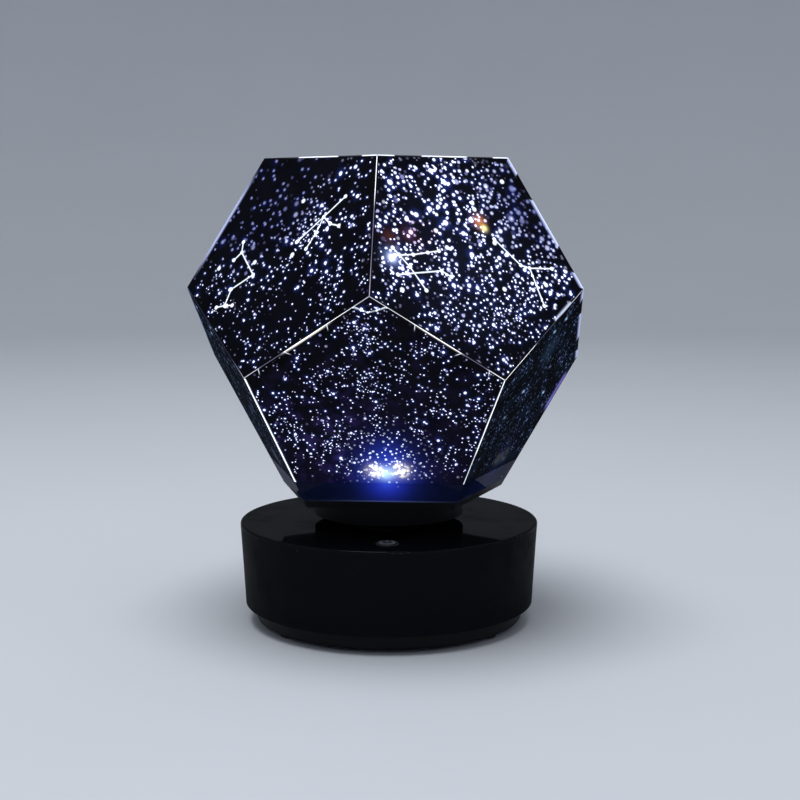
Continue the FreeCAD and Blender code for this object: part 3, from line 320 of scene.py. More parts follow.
SHALLOW_HOOK = [[(-6.2, 46.5), (-3.3, 45.3), (-0.9, 44.4), (2.4, 45.2), (6.2, 46.5)]]
FIGURES = {"upper_1": CROSSED_BRANCH, "upper_5": BRANCH_AND_BARS, "top": CROSS, "upper_2": LADLE,
           "upper_3": HOURGLASS, "upper_4": ZIGZAG, "lower_1": SHALLOW_HOOK}

# Star clusters: a panel's point in millimetres and the cluster's width.
CLUSTERS = {
    "top": [((6, 12), 9)],
    "upper_1": [((-9, -12), 9)],
    "upper_3": [((8, 10), 8)],
    "upper_5": [((-12, 27), 9)],
    "lower_1": [((-2.4, 39.6), 7.5), ((-16, -14), 6), ((-4, 14), 5)],
    "lower_3": [((2, 30), 8)],
}

# Larger lone stars: a panel's points in millimetres.
LONE_STARS = {
    "upper_5": [(34.1, 13.6), (-10.9, 14.8), (-30.8, 13.6), (9.9, -2.8), (12.9, -9.8),
                (-6.9, -21.3), (-7.1, -18.6), (-23.8, -30.6), (-12.2, -4.4)],
    "upper_1": [(15.1, 4), (33.8, 7.1), (22.6, 22.7), (0.1, -22.2), (-3.6, 0.4)],
    "lower_2": [(-3, 42), (4.2, 30.7), (12, 34), (22, 26), (32.2, 19), (-21.5, -0.5), (8, 18),
                (27, 4)],
    "lower_5": [(-13.8, 6.6), (-22.1, -3.9), (9, 15.2), (-4, 38), (-11.6, 33), (20, 2)],
}

# Painted shade that dims a panel's stars towards one side: a point, the distances where the shade
# starts and is whole.
STAR_SHADES = {"upper_1": ((30, -32), 54, 26), "upper_5": ((-37, -24), 38, 9)}
# Panels with larger and more stars: factors on both.
THICK_SKIES = {"upper_5": (1.3, 1.5)}
# Light along a panel's five sides, counted from its lone corner: its width in millimetres and
# its strength. Two sides of a lower panel have no tabs.
UPPER_RIMS = [(0.2, 0.3), (0.55, 0.6), (0.6, 0.9), (0.55, 0.6), (0.2, 0.3)]
LOWER_RIMS = [(0.2, 0.35), (0.45, 1), (0.2, 0.3), (0.45, 1), (0.2, 0.35)]
RIMS = {
    "upper_1": [(0.26, 0.4), (0.14, 0.08), (0.6, 1), (0.2, 0.1), (0.14, 0.1)],
    "upper_5": [(0.22, 0.35), (0.3, 0.4), (0.6, 1), (0.14, 0.08), (0.2, 0.3)],
    "lower_1": [(0.2, 0.35), (0.78, 1), (0.2, 0.3), (0.5, 0.85), (0.2, 0.35)],
    "lower_2": [(0.2, 0.1), (0.3, 0.04), (0.2, 0.02), (0.2, 0.4), (0.16, 0.04)],
    "lower_5": [(0.16, 0.12), (0.2, 0.4), (0.2, 0.02), (0.2, 0.04), (0.2, 0.1)],
}
# Wider soft glows along a side: its number, the glow's width, its strength, half its length,
# how far the tabs interrupt it, and its colour.
VIOLET = (0.5, 0.58, 1)
WARM = (1, 0.93, 0.84)
RIM_GLOWS = {
    "upper_1": [(3, 2, 0.75, 18, 0, VIOLET)],
    "upper_5": [(1, 2, 0.9, 60, 1, VIOLET)],
    "lower_1": [(0, 1, 0.9, 9, 0, WARM), (4, 0.7, 0.6, 9, 0, WARM)],
    "lower_2": [(0, 2.8, 0.4, 30, 0.6, (0.25, 0.42, 0.8))],
    "lower_5": [(4, 2.8, 0.6, 60, 1, VIOLET)],
}
# Short bars of light on a panel: start, end, width, strength and colour.
BARS = {
    "upper_5": [((-40, 21.4), (-30.7, 28.1), 0.5, 0.6, (0.62, 0.72, 1))],
    "lower_5": [((42.3, 6.6), (38.1, -6.4), 2, 0.32, (0.3, 0.24, 0.95))],
}
# The blue glow round each star.
HALO = (0.009, 0.018, 0.115)
# A corner of a panel where its rim stays dark.
DARK_CORNERS = {"upper_1": (30, -41.3)}
# Side panels whose stars are darkened with painted shade, in a dull blue.
SHADED_PANELS = ("lower_2", "lower_5")
# Painted glow of the lamp round its hot spot on each lower panel: middle from the hot spot, width,
# colour and strength. The first is the lamp seen through the film and the others are its haze.
HOT_SPOT = (3.3, -27)
LAMP_GLOWS = [
    ((-0.4, -0.5), 2.8, (0.6, 0.9, 1), 0.6),
    ((0, -1.5), 8.5, (0.03, 0.11, 1), 0.3),
    ((0, 8), 7.5, (0.02, 0.07, 0.8), 0.12),
    ((0, -1.5), 15, (0.04, 0.05, 0.7), 0.06),
    ((0, -1.5), 30, (0.05, 0.03, 0.25), 0.028),
]
# Painted round glows on a panel, on upper_5 painted reflections of the lamp: middle, width, colour and
# strength.
PAINTED_PANEL_GLOWS = {
    "upper_5": [
        ((-7.6, -13.6), 2.3, (1, 0.33, 0.05), 0.42), ((-9.2, -10.6), 1.3, (1, 0.85, 0.4), 1),
        ((25.6, -8.4), 2.6, (1, 0.22, 0.14), 0.04), ((33.8, -7.6), 2.8, (1, 0.28, 0.18), 0.035),
        ((8, 2), 30, (0.3, 0.4, 1), 0.008), ((34.6, 0.6), 3.2, (0.3, 0.42, 1), 0.45),
        ((35, 0.8), 1.4, (0.9, 0.95, 1), 1.1),
    ],
    "lower_5": [((-4.8, 24.3), 6, (0.1, 0.25, 0.5), 0.05)],
}
# Where a panel's stars turn red under the painted red reflection of the lamp: middle and width.
RED_STARS = {"upper_5": ((21, -9), 6.5)}
# Where a panel has violet dust: middle and width of its densest part.
DUST = {"lower_1": ((-20, -14), 20)}


def star_layer(point, thickness, layer, turn, growth=1, edge=0.6):
    """Round pinholes, at most one to a cell: how bright each is, its random hue and a halo."""
    cell, small, large, share, gather = layer
    grid = point.turned(turn).cells(cell, flat=True)
    size, chance, hue = grid.also("Color").split()
    radius = (small + (large - small) * size) * growth
    home = grid.also("Position").turned(-turn)
    shown = share * (1 - gather + thickness(home) * gather)
    shown = chance.ramp(shown, shown - 0.02)
    away = grid * cell
    return away.ramp(radius, radius * edge) * shown, hue, away.bell(radius * 1.7) * shown


def segment_distance(point, start, end):
    """How far a point lies from a straight stroke between two points."""
    step = Vector(end) - Vector(start)
    moved = point - (*start, 0)
    along = moved.maths("DOT_PRODUCT", (*(step / step.length_squared), 0), output=1)
    nearest = along.recipe.node("Clamp", {}, {0: along}) * (*step, 0)
    return moved.maths("DISTANCE", nearest, output=1)


def figure_light(point, chains, stroke, star):
    """Fine strokes of a strength along the chains of a figure, and a round star at each corner."""
    # No two points of a panel are as far apart as this.
    strokes = stars = 2 * EDGE_MM
    for chain in chains:
        for start, end in zip(chain, chain[1:]):
            strokes = segment_distance(point, start, end).least(strokes)
        for corner in chain:
            stars = point.apart(corner).least(stars)
    uneven = point.noise(2.4, flat=True)
    strokes = strokes.ramp(0.3 + 0.3 * uneven, 0.14) * stroke
    return strokes.most(stars.ramp(star, star * 0.6))


def folded_angle(angle):
    """An angle folded onto one of five equal sectors, counted from that sector's middle."""
    return angle.maths("MODULO", 2 * HALF_CORNER) - HALF_CORNER


def folded_pentagon(x, y):
    """A panel folded onto one of its five sides: the distance from that side, the distance along
    it from its middle, both in millimetres, and the side's number."""
    angle = y.maths("ARCTAN2", x) + (2 * math.pi - math.pi / 2)
    folded = folded_angle(angle)
    radius = x.hypot(y)
    depth = FACE_INRADIUS * EDGE_MM - radius * folded.maths("COSINE")
    number = (angle / (2 * HALF_CORNER)).maths("FLOOR").maths("MODULO", 5)
    return depth, abs(radius * folded.maths("SINE")), number


def glows(point, spots):
    """The light of soft round glows: each has a middle, a width, a colour and a strength."""
    return sum(point.apart(middle).bell(width) * strength * colour
               for middle, width, colour, strength in spots)


def painted_lamp_glow(point, sky_point):
    """The lamp's glow painted low on the film: two knots of large stars in a saturated blue haze."""
    moved = point - (*HOT_SPOT, 0)
    x, y, _ = moved.split()
    knots = (x + 4.6).hypot((y - 0.9) * 1.1).bell(3.2)
    knots = knots.most((x - 5).hypot((y - 1) * 1.1).bell(3.5))
    sparks, hue, _ = star_layer(sky_point, lambda home: 1, HEART_SKY, 0.5)
    near, _, _ = star_layer(sky_point, lambda home: 1, NEAR_SKY, 1.1)
    warm = hue.ramp(0.3, 0.7).mix((1, 0.93, 0.6), (0.86, 0.96, 1))
    return (warm * (sparks * knots.ramp(0.16, 0.5) * 0.5)
            + knots * 0.3 * (0.95, 0.85, 0.5)
            + near * moved.apart((0, 6)).bell(11) * 0.8 * (0.75, 0.85, 1)
            + glows(moved, LAMP_GLOWS))


def tab_shadow(x, y, depth, along, lower):
    """Painted shadow of the tabs behind a panel, and which part of it has tabs at its sides at all."""
    # A lower panel has none at its two lower sides.
    tabbed = (y - math.tan(HALF_CORNER / 2) * abs(x)).ramp(-0.2, 0.2) if lower else 1
    reach = abs(along - TAB_MIDDLE) - (TAB_HALF - depth * TAB_SLANT)
    return reach.ramp(0.3, -0.3) * depth.ramp(TAB_WIDTH, TAB_WIDTH - 1.6) * tabbed, tabbed


def sky_light(panel, point, sky_point, clear, settings):
    """The pinholes' light where the film is clear, and how bright the holes themselves are."""
    _, y, _ = point.split()
    lower = "lower" in panel
    dim = panel in SHADED_PANELS

    def painted_shade(where):
        """1 where painted shade has dimmed the panel's stars out."""
        if panel not in STAR_SHADES:
            return 0
        corner, start, end = STAR_SHADES[panel]
        return where.apart(corner).ramp(start, end)

    def thickness(home):
        """How thickly the stars stand at a point of the sky."""
        cloud = home.noise(15, 1, flat=True) * 0.5 + home.noise(4.8, 1, flat=True) * 0.5
        density = 2.1 * cloud.ramp(0.42, 0.6)
        home = home - sky_shift(panel)
        for middle, width in CLUSTERS.get(panel, ()):
            density += 2.8 * home.apart(middle).bell(width)
        return density * (1 - 0.6 * painted_shade(home))

    growth, more = THICK_SKIES.get(panel, (1.5 if dim else 1, 1))
    if lower:
        clear *= y.ramp(-30, -27)
    else:
        growth = growth * (1.12 - 0.36 * y.ramp(-12, 34))
    # In the painted shade the stars grow larger and softer.
    growth += 0.55 * painted_shade(point)
    edge = (0.25 if dim else 0.6) - 0.4 * painted_shade(point)
    light = holes = 0
    for turn, (*sizes, share, gather) in enumerate(LOWER_SKY if lower else UPPER_SKY):
        layer = (*sizes, share * more, gather / more)
        disc, hue, halo = star_layer(sky_point, thickness, layer, 0.6 * turn + 0.3, growth, edge)
        bright = (0.07 + (0.72 if turn else 0.95) * hue.ramp(0.05, 0.5)) * clear * disc
        colour = hue.ramp(0.1, 0.6).mix(settings.star_tint, settings.star_colour)
        light += colour * bright + halo * clear * hue.ramp(0.2, 0.9) * HALO
        holes = bright.most(holes)
    # The painted shade also turns the stars violet.
    if panel in STAR_SHADES:
        light = light * (painted_shade(point) * 0.96).mix((1, 1, 1), (0.065, 0.08, 0.25))
    return light, holes


def drawn_light(panel, point, light):
    """A panel's light with lone stars, figure, dust, painted red tint and painted shade added."""
    x, y, _ = point.split()
    dim = panel in SHADED_PANELS
    for star in LONE_STARS.get(panel, ()):
        if dim:
            # Seen from the front, these ovals look round.
            lone = ((x - star[0]) * 0.5).hypot(y - star[1]).bell(0.6) * 4
        else:
            lone = point.apart(star).ramp(1.15, 0.75) * 0.75
        light += lone * (0.8, 0.86, 1)
    if panel in FIGURES:
        weights = (0.3, 0.5) if "lower" in panel else (0.8, 1)
        light += figure_light(point, FIGURES[panel], *weights) * (0.8, 0.88, 1)
    # Painted red tint of the lamp's reflection.
    if panel in RED_STARS:
        middle, width = RED_STARS[panel]
        red = point.apart(middle).bell(width)
        light = light * (red * 0.6).mix((1, 1, 1), (1, 0.36, 0.3))
    if panel in DUST:
        middle, width = DUST[panel]
        dust = point.noise(7, 4, 0.6, flat=True).ramp(0.45, 0.75)
        dense = point.apart(middle).bell(width)
        light += dust * (0.015 + 0.08 * dense) * (0.1, 0.06, 0.42)
    # Painted shade: the side panels' light is darkened in patches and turned a dull blue.
    if dim:
        clump = point.noise(11, 2).ramp(0.42, 0.68)
        light = light * ((0.25 + 1.5 * clump) * (0.08, 0.12, 0.165))
        light += clump * (0.0012, 0.003, 0.0062)
    return light


def side_light(panel, point, sides, shadow, settings):
    """What leaks along a panel's sides: its rims, soft glows and short bars."""
    depth, along, number = sides
    painted_tab_shadow, tabbed = shadow
    lower = "lower" in panel
    uneven = point.noise(5)
    rim = 0
    rims = RIMS.get(panel, LOWER_RIMS if lower else UPPER_RIMS)
    for side, (width, strength) in enumerate(rims):
        width = width * (0.7 + 0.6 * uneven)
        here = number.maths("COMPARE", side, 0.5)
        rim += depth.ramp(width, width * 0.4) * here * strength
    rim = rim * (1 - 0.97 * painted_tab_shadow)
    if panel in DARK_CORNERS:
        rim *= point.apart(DARK_CORNERS[panel]).ramp(7, 16)
    if lower and panel not in SHADED_PANELS:
        # Short branches of light run past the ends of the tabs.
        leaning = abs(along - TAB_MIDDLE) - (TAB_HALF + depth * 0.55)
        branch = abs(leaning).ramp(0.24, 0.08) * depth.ramp(2.8, 1)
        rim = rim.most(branch * tabbed * 0.65)
    light = rim * settings.seam_colour
    for side, width, strength, half, cut, colour in RIM_GLOWS.get(panel, ()):
        here = number.maths("COMPARE", side, 0.5) * (1 - painted_tab_shadow * cut)
        shine = depth.ramp(width, 0) * along.ramp(half * 1.5, half * 0.5)
        light += shine * here * strength * colour
    for start, end, width, strength, colour in BARS.get(panel, ()):
        light += segment_distance(point, start, end).bell(width) * strength * colour
    return light


def star_film(point, panel, settings):
    """Dark printed film: stars, constellation strokes, seam light, painted tab shadows and lamp glow.
    """
    sky_point = point + sky_shift(panel)
    x, y, _ = point.split()
    lower = "lower" in panel
    dim = panel in SHADED_PANELS
    sides = folded_pentagon(x, y)
    depth, along, _ = sides
    shadow = tab_shadow(x, y, depth, along, lower)
    painted_tab_shadow = shadow[0]

    # Stars behind the tabs are dimmed by painted shadow.
    clear = depth.ramp(0.6, 1.2) * (1 - painted_tab_shadow * (0.6 if lower else 0.85))
    light, holes = sky_light(panel, point, sky_point, clear, settings)
    light = drawn_light(panel, point, light)
    # Painted glow of the lamp, nearly hidden on the shaded side panels.
    if lower:
        light += painted_lamp_glow(point, sky_point) * (0.03 if dim else 1)
    light += side_light(panel, point, sides, shadow, settings)

    film = point.noise(30, 3).mix(settings.film_colour, (0.0012, 0.0015, 0.0035))
    # Painted shade of the tabs also darkens the film's own colour.
    film = (painted_tab_shadow * 0.6).mix(film, (0.0015, 0.0015, 0.002))
    smudge = point.noise(14, 4, 0.6).ramp(0.35, 0.75)
    return dict(
        Base_Color=(holes * (0.06 if dim else 0.35)).mix(film, (0.55, 0.58, 0.66)),
        Roughness=0.3 + 0.2 * smudge,
        Specular_IOR_Level=0,
        Coat_Weight=(0.02 if dim else 0.11) * (1 - 0.5 * smudge),
        Coat_Roughness=0.1,
        Normal=point.noise(26, 1).bumps(0.25, 0.5),
        Emission_Color=light + glows(point, PAINTED_PANEL_GLOWS.get(panel, ())),
        Emission_Strength=settings.glow,
    )


# -------- finishes of the other nodes

def moulded(point, dark, light, roughness, grain, depth, specular):
    """Moulded plastic or rubber: a spark-eroded grain of a size and depth in millimetres, faint
    flow marks and dust."""
    flow = point.noise(18, 3)
    speckle = point.dots(2.6, 0.1, 0.05)
    return dict(
        Base_Color=(speckle * 0.1).mix(flow.mix(dark, light), (0.35, 0.36, 0.38)),
        Roughness=roughness + 0.1 * (flow - 0.5) + speckle * 0.15,
        Specular_IOR_Level=specular,
        Normal=point.noise(grain, 2).bumps(depth, 0.4),
    )


def drawn_metal(point, dark, light, roughness, stretch, grain):
    """Metal with a patchy, handled sheen: its grain is drawn out along the axes by stretch."""
    lines = (point / stretch).noise(grain, 3)
    patch = point.noise(7, 2)
    return dict(
        Base_Color=(lines * 0.5 + patch * 0.5).mix(dark, light),
        Metallic=1,
        Roughness=roughness + 0.16 * (patch - 0.5) + 0.12 * (lines - 0.5),
        Normal=lines.bumps(0.01, 0.3),
    )


# Where the base's deck turns into its side, in millimetres above the floor.
DECK_EDGE = (41.2, 40.6)


def glossy_deck(point, settings):
    """The base's black shell: polished on the deck, a little softer on its side."""
    _, _, z = point.split()
    smudge = point.noise(16, 4, 0.62).ramp(0.42, 0.8)
    dust = point.dots(3.4, 0.16, 0.07) * point.noise(9, 1).ramp(0.55, 0.62)
    side = z.ramp(*DECK_EDGE)
    colour = smudge.mix(settings.shell_colour, (0.0045, 0.005, 0.007))
    return dict(
        Base_Color=(dust * 0.35).mix(colour, (0.5, 0.55, 0.65)),
        Roughness=0.3 + 0.1 * smudge + 0.14 * side + 0.3 * dust,
        Specular_IOR_Level=0,
        Coat_Weight=0.17 - 0.06 * smudge - 0.08 * side,
        Coat_Roughness=0.05,
        Normal=point.noise(0.5, 2).bumps(0.01, 0.25),
    )


# The lamp's glows painted into the collar: width in millimetres, colour and strength.
COLLAR_GLOWS = [(3, (0.1, 0.28, 1), 0.09), (7.5, (0.03, 0.06, 1), 0.29),
                (15, (0.015, 0.03, 0.4), 0.045)]
# Where they lie above the dome's floor, in millimetres.
COLLAR_GLOW_LEVEL = 9
# Painted shade keeps the sides that carry the shaded panels dark: the cosine of their azimuth.
SHADED_SIDE_COSINE = 0.31


def collar_clear(point, settings):
    """The clear collar, tinted, with painted blue light from within, most in the middle of each side.
    """
    x, y, z = point.split()
    folded = folded_angle((-x).maths("ARCTAN2", -y) + (2 * math.pi + HALF_CORNER))
    radius = x.hypot(y)
    along = radius * folded.maths("SINE")
    level = z - DOME_FLOOR / MM
    reach = along.hypot((level - COLLAR_GLOW_LEVEL) * 1.1)
    haze = point.noise(6, 3)
    lit = abs(-y / radius - SHADED_SIDE_COSINE).ramp(0.25, 0.45) * 0.95 + 0.05
    light = along.bell(26) * (0.6 + 0.8 * haze) * (0.001, 0.002, 0.009)
    for width, colour, strength in COLLAR_GLOWS:
        light += reach.bell(width) * lit * strength * colour
    light += level.ramp(0.75, 0.25) * along.bell(20) * lit * 0.05 * (0.35, 0.5, 0.95)
    light += point.dots(7, 0.32, 0.16) * 0.3 * (0.75, 0.85, 1)
    return dict(
        Base_Color=haze.mix((0.002, 0.003, 0.012), (0.005, 0.008, 0.026)),
        Roughness=0.2 + 0.15 * haze,
        Specular_IOR_Level=0,
        Coat_Weight=0.18 - 0.1 * haze,
        Coat_Roughness=0.06,
        Alpha=0.93,
        Emission_Color=light,
        Emission_Strength=settings.glow,
    )


def circuit_board(point):
    """Green solder mask with copper tracks under it and a few bright pads."""
    tracks = point.cells(2.4, feature="DISTANCE_TO_EDGE").ramp(0.12, 0.05)
    pads = point.dots(2.9, 0.42, 0.34)
    colour = (tracks * 0.7).mix((0.01, 0.105, 0.045), (0.03, 0.2, 0.085))
    return dict(
        Base_Color=pads.mix(colour, (0.62, 0.6, 0.55)),
        Roughness=0.32 + 0.1 * pads,
        Metallic=pads * 0.8,
        Normal=tracks.bumps(0.03, 0.5),
    )


def cell_sleeve(point):
    """A printed sleeve along each cell: a broad dark band, a pale one, and bare metal ends."""
    x, _, _ = point.split()
    end = abs(x).ramp(23.6, 23.9)
    colour = (abs(x) - 14).ramp(-0.2, 0.2).mix((0.025, 0.06, 0.11), (0.35, 0.37, 0.4))
    return dict(
        Base_Color=end.mix(colour, (0.62, 0.62, 0.6)),
        Metallic=0.25 + 0.7 * end,
        Roughness=0.26 + 0.16 * point.noise(2, 4),
    )


def lead_sleeve(point):
    """Soft wire sleeve: red on one lead of a pair and black on the other."""
    x, _, _ = point.split()
    side = ((x + 0.6) * 2.2).maths("SINE").ramp(-0.3, 0.3)
    dull = point.noise(0.8, 2)
    return dict(
        Base_Color=side.mix((0.012, 0.012, 0.013), (0.42, 0.022, 0.016)),
        Roughness=0.42 + 0.15 * dull,
        Normal=dull.bumps(0.01, 0.3),
    )


def lamp_finish(point, core, rim, strength, settings, roughness):
    """A part of the LED: brightest in the middle, its colour shifting towards the rim."""
    x, y, _ = point.split()
    shade = x.hypot(y).ramp(0.2, 2.2) * (0.85 + 0.3 * point.noise(0.6))
    colour = shade.mix(core, rim)
    return dict(
        Base_Color=colour,
        Roughness=roughness,
        Emission_Color=colour,
        Emission_Strength=strength * settings.glow,
    )


def led_board_white(point):
    """The LED's white board, with a gold ring of solder pads round the emitter."""
    x, y, _ = point.split()
    sector = (y.maths("ARCTAN2", x) * 6).maths("SINE")
    pads = abs(x.hypot(y) - 5.2).ramp(0.75, 0.55) * sector.ramp(0.1, 0.25)
    white = point.noise(1.6, 3).mix((0.72, 0.73, 0.74), (0.84, 0.85, 0.85))
    return dict(
        Base_Color=pads.mix(white, (0.78, 0.6, 0.3)),
        Metallic=pads,
        Roughness=0.38 - 0.1 * pads,
    )


def key_print(point, settings):
    """The worn print of the mark on the key."""
    worn = point.noise(0.7, 3)
    return dict(
        Base_Color=worn.ramp(0.45, 0.8).mix(settings.mark_colour, (0.1, 0.11, 0.12)),
        Roughness=0.45 + 0.2 * worn,
    )


def matte_floor(point, settings):
    """The pale floor, a little cloudy."""
    shade = tuple(0.9 * part for part in settings.floor_colour)
    return dict(
        Base_Color=(0.5 * point.noise(160, 3)).mix(settings.floor_colour, shade),
        Roughness=0.65 + 0.1 * point.noise(1.2, 2),
        Specular_IOR_Level=0.3,
    )


def node_finishes(dome, base):
    """One finish for each of the record's material slots, apart from the star film."""
    looks = {
        "gloss_black": (glossy_deck, base),
        "matte_black": (moulded, (0.005, 0.0053, 0.006), (0.009, 0.0095, 0.011), 0.5, 0.35, 0.02, 0.1),
        "key_black": (moulded, (0.016, 0.017, 0.019), (0.026, 0.027, 0.031), 0.34, 0.25, 0.015, 0.35),
        "rubber": (moulded, base.rubber_colour, (0.03, 0.03, 0.031), 0.82, 0.3, 0.04, 0.3),
        "screw_steel": (drawn_metal, (0.36, 0.37, 0.39), (0.6, 0.61, 0.63), 0.3, (1, 1, 1), 0.4),
        "cell_sleeve": (cell_sleeve,),
        "nickel": (drawn_metal, (0.56, 0.54, 0.5), (0.76, 0.74, 0.7), 0.24, (1, 1, 12), 0.6),
        "circuit_board": (circuit_board,),
        "component": (moulded, (0.014, 0.014, 0.015), (0.03, 0.03, 0.032), 0.45, 0.35, 0.02, 0.5),
        "lead_sleeve": (lead_sleeve,),
        "plate_metal": (drawn_metal, (0.42, 0.43, 0.45), (0.62, 0.64, 0.66), 0.36, (14, 1, 1), 0.6),
        "motor_case": (drawn_metal, (0.45, 0.45, 0.46), (0.66, 0.66, 0.67), 0.28, (1, 1, 16), 0.6),
        "bush_brass": (drawn_metal, (0.5, 0.33, 0.12), (0.76, 0.55, 0.24), 0.3, (1, 1, 1), 0.5),
        "gear_white": (moulded, (0.66, 0.65, 0.6), (0.78, 0.77, 0.72), 0.42, 0.4, 0.02, 0.4),
        "post_metal": (drawn_metal, (0.55, 0.56, 0.58), (0.78, 0.79, 0.8), 0.3, (12, 12, 1), 0.6),
        "led_board_white": (led_board_white,),
        "led_phosphor": (lamp_finish, (1, 0.92, 0.55), (0.85, 0.66, 0.16), 1.5, dome, 0.5),
        "led_silicone": (lamp_finish, (0.9, 0.97, 1), (0.35, 0.6, 1), 3, dome, 0.15),
        "tab_film": (moulded, (0.006, 0.006, 0.008), (0.012, 0.012, 0.015), 0.4, 1.2, 0.05, 0.25),
        "collar_clear": (collar_clear, dome),
    }
    return {slot: finished(slot, look, *details) for slot, (look, *details) in looks.items()}


# -------- surfaces from arrays

def grid_faces(rows, columns):
    """Quads of a grid of points, row by row, whose last column joins the first."""
    row = np.arange(rows - 1)[:, None] * columns
    column = np.arange(columns)[None, :]
    after = (column + 1) % columns
    corners = [row + column, row + columns + column, row + columns + after, row + after]
    return np.stack(corners, axis=-1).reshape(-1, 4).tolist()


def tube(path, across, upward, profile, uv=None):
    """A closed tube as points, faces and uv: each point of the path plus the profile's two
    distances along the across and upward directions, which are given once or for each point."""
    across = np.atleast_2d(across)[:, None, :]
    upward = np.atleast_2d(upward)[:, None, :]
    points = path[:, None, :] + across * profile[:, 0, None] + upward * profile[:, 1, None]
    rings, count = points.shape[:2]
    first = list(range(count))
    last = list(range((rings - 1) * count, rings * count))[::-1]
    return points, grid_faces(rings, count) + [first, last], uv


def add_piece(name, parts, material, body=None, smooth=False):
    """One mesh object from (points, faces, uv) parts; uv gives two numbers for each point."""
    points = []
    faces = []
    coordinates = []
    start = 0
    for part_points, part_faces, uv in parts:
        flat = np.asarray(part_points, float).reshape(-1, 3)
        points.append(flat)
        faces += [[corner + start for corner in face] for face in part_faces]
        coordinates.append(np.zeros((len(flat), 2)) if uv is None else uv.reshape(-1, 2))
        start += len(flat)
    mesh = bpy.data.meshes.new(name)
    mesh.from_pydata(np.concatenate(points).tolist(), [], faces)
    corners = np.empty(len(mesh.loops), int)
    mesh.loops.foreach_get("vertex_index", corners)
    layer = mesh.uv_layers.new(name="UVMap")
    layer.data.foreach_set("uv", np.concatenate(coordinates)[corners].ravel())
    mesh.polygons.foreach_set("use_smooth", [smooth] * len(mesh.polygons))
    mesh.materials.append(material)
    mesh.update()
    piece = bpy.data.objects.new(name, mesh)
    bpy.context.scene.collection.objects.link(piece)
    if body:
        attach(piece, body)
    return piece


# -------- seam strips

# The kinds of seam: the row of panels that they are taken from, and a panel's two corners at
# their ends, counted from its lone corner.
SEAM_KINDS = {"top": ("upper", 2, 3), "upper": ("upper", 1, 2),
              "belt_left": ("lower", 0, 1), "belt_right": ("lower", 4, 0),
              "lower": ("lower", 1, 2)}


def panel_corner(panel, number):
    """A corner of a panel: the five lie on a circle about its middle, 72 degrees apart."""
    axes = panel_axes(panel)
    angle = math.radians(90 + 72 * number)
    flat = axes.col[0] * math.cos(angle) + axes.col[1] * math.sin(angle)
    return np.array(panel_middle(axes) + flat * (EDGE / (2 * math.sin(HALF_CORNER))))


# How bright a seam is from its start to its end: pairs of a share of its length and a strength.
# Most seams shine between their tabs and are faint where a tab backs them.
TABBED = [(0, .8), (.11, .8), (.13, .07), (.32, .07), (.34, 1), (.66, 1), (.68, .07), (.87, .07),
          (.89, .8), (1, .8)]
SEAM_PROFILES = {
    "top_1": [(0, .9), (.11, .9), (.13, .05), (.33, .05), (.35, 1), (.67, 1), (.69, .05), (1, .05)],
    "upper_1": [(0, .35), (.1, .3), (.3, .14), (.62, .16), (.72, .9), (1, 1)],
    "upper_2": [(0, .05), (.12, .15), (.25, .4), (.4, .9), (.7, .9), (.85, .4), (1, .1)],
    "upper_5": [(0, .5), (.11, .5), (.13, .03), (.32, .03), (.34, .9), (.66, .9), (.68, .03),
                (.87, .03), (.89, .7), (1, .6)],
    "belt_left_1": [(0, .4), (.12, .45), (.2, .7), (.35, .9), (.66, 1), (.69, .12), (.86, .12),
                    (.89, .4), (1, .4)],
    "belt_right_1": [(0, .8), (.11, .7), (.14, .12), (.31, .15), (.34, .9), (.6, .9), (.67, .7),
                     (.8, .5), (1, .4)],
    "belt_right_2": [(0, .5), (.1, .25), (.2, .04), (.9, .04), (1, .2)],
    "belt_left_5": [(0, .3), (.05, .45), (.28, .45), (.33, .05), (.6, .05), (.65, .8), (1, .85)],
    "lower_1": [(0, .9), (1, 1)],
    "lower_2": [(0, .15), (1, .05)],
    "lower_4": [(0, .1), (.2, .3), (.75, .25), (1, .02)],
    "lower_5": [(0, .8), (.66, .9), (.73, .06), (1, .02)],
}


def seam_strip_parts(kinds):
    """Square bars laid in the gaps between the panels, below the ideal edge of the dome.

    Their UV map holds how bright each point is."""
    parts = []
    share = np.linspace(0, 1, 61)[:, None]
    half = SEAM_WIDTH / 2 - 0.005 * MM
    profile = np.array([(-half, -0.55 * MM), (half, -0.55 * MM), (half, -0.1 * MM),
                        (-half, -0.1 * MM)])
    for kind in kinds:
        row, first, second = SEAM_KINDS[kind]
        for index in range(1, 6):
            start = panel_corner(f"{row}_{index}", first)
            end = panel_corner(f"{row}_{index}", second)
            along = (end - start) / np.linalg.norm(end - start)
            upward = (start + end) / 2 - DOME_CENTRE
            upward = upward / np.linalg.norm(upward)
            across = np.cross(along, upward)
            low = start + along * 0.3 * MM
            high = end - along * 0.3 * MM
            if kind == "lower":
                # These end at the collar.
                top_of_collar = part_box("panel_lower_1")[0].z
                drop = (start[2] - top_of_collar) / (start[2] - end[2])
                high = start + (end - start) * drop - along * 0.1 * MM
            default = SEAM_PROFILES["lower_1"] if kind == "lower" else TABBED
            shares, strengths = zip(*SEAM_PROFILES.get(f"{kind}_{index}", default))
            strength = np.interp(share[:, 0], shares, strengths)
            uv = np.repeat(np.stack([strength, share[:, 0]], axis=1), len(profile), axis=0)
            parts.append(tube(low * (1 - share) + high * share, across, upward, profile, uv))
    return parts


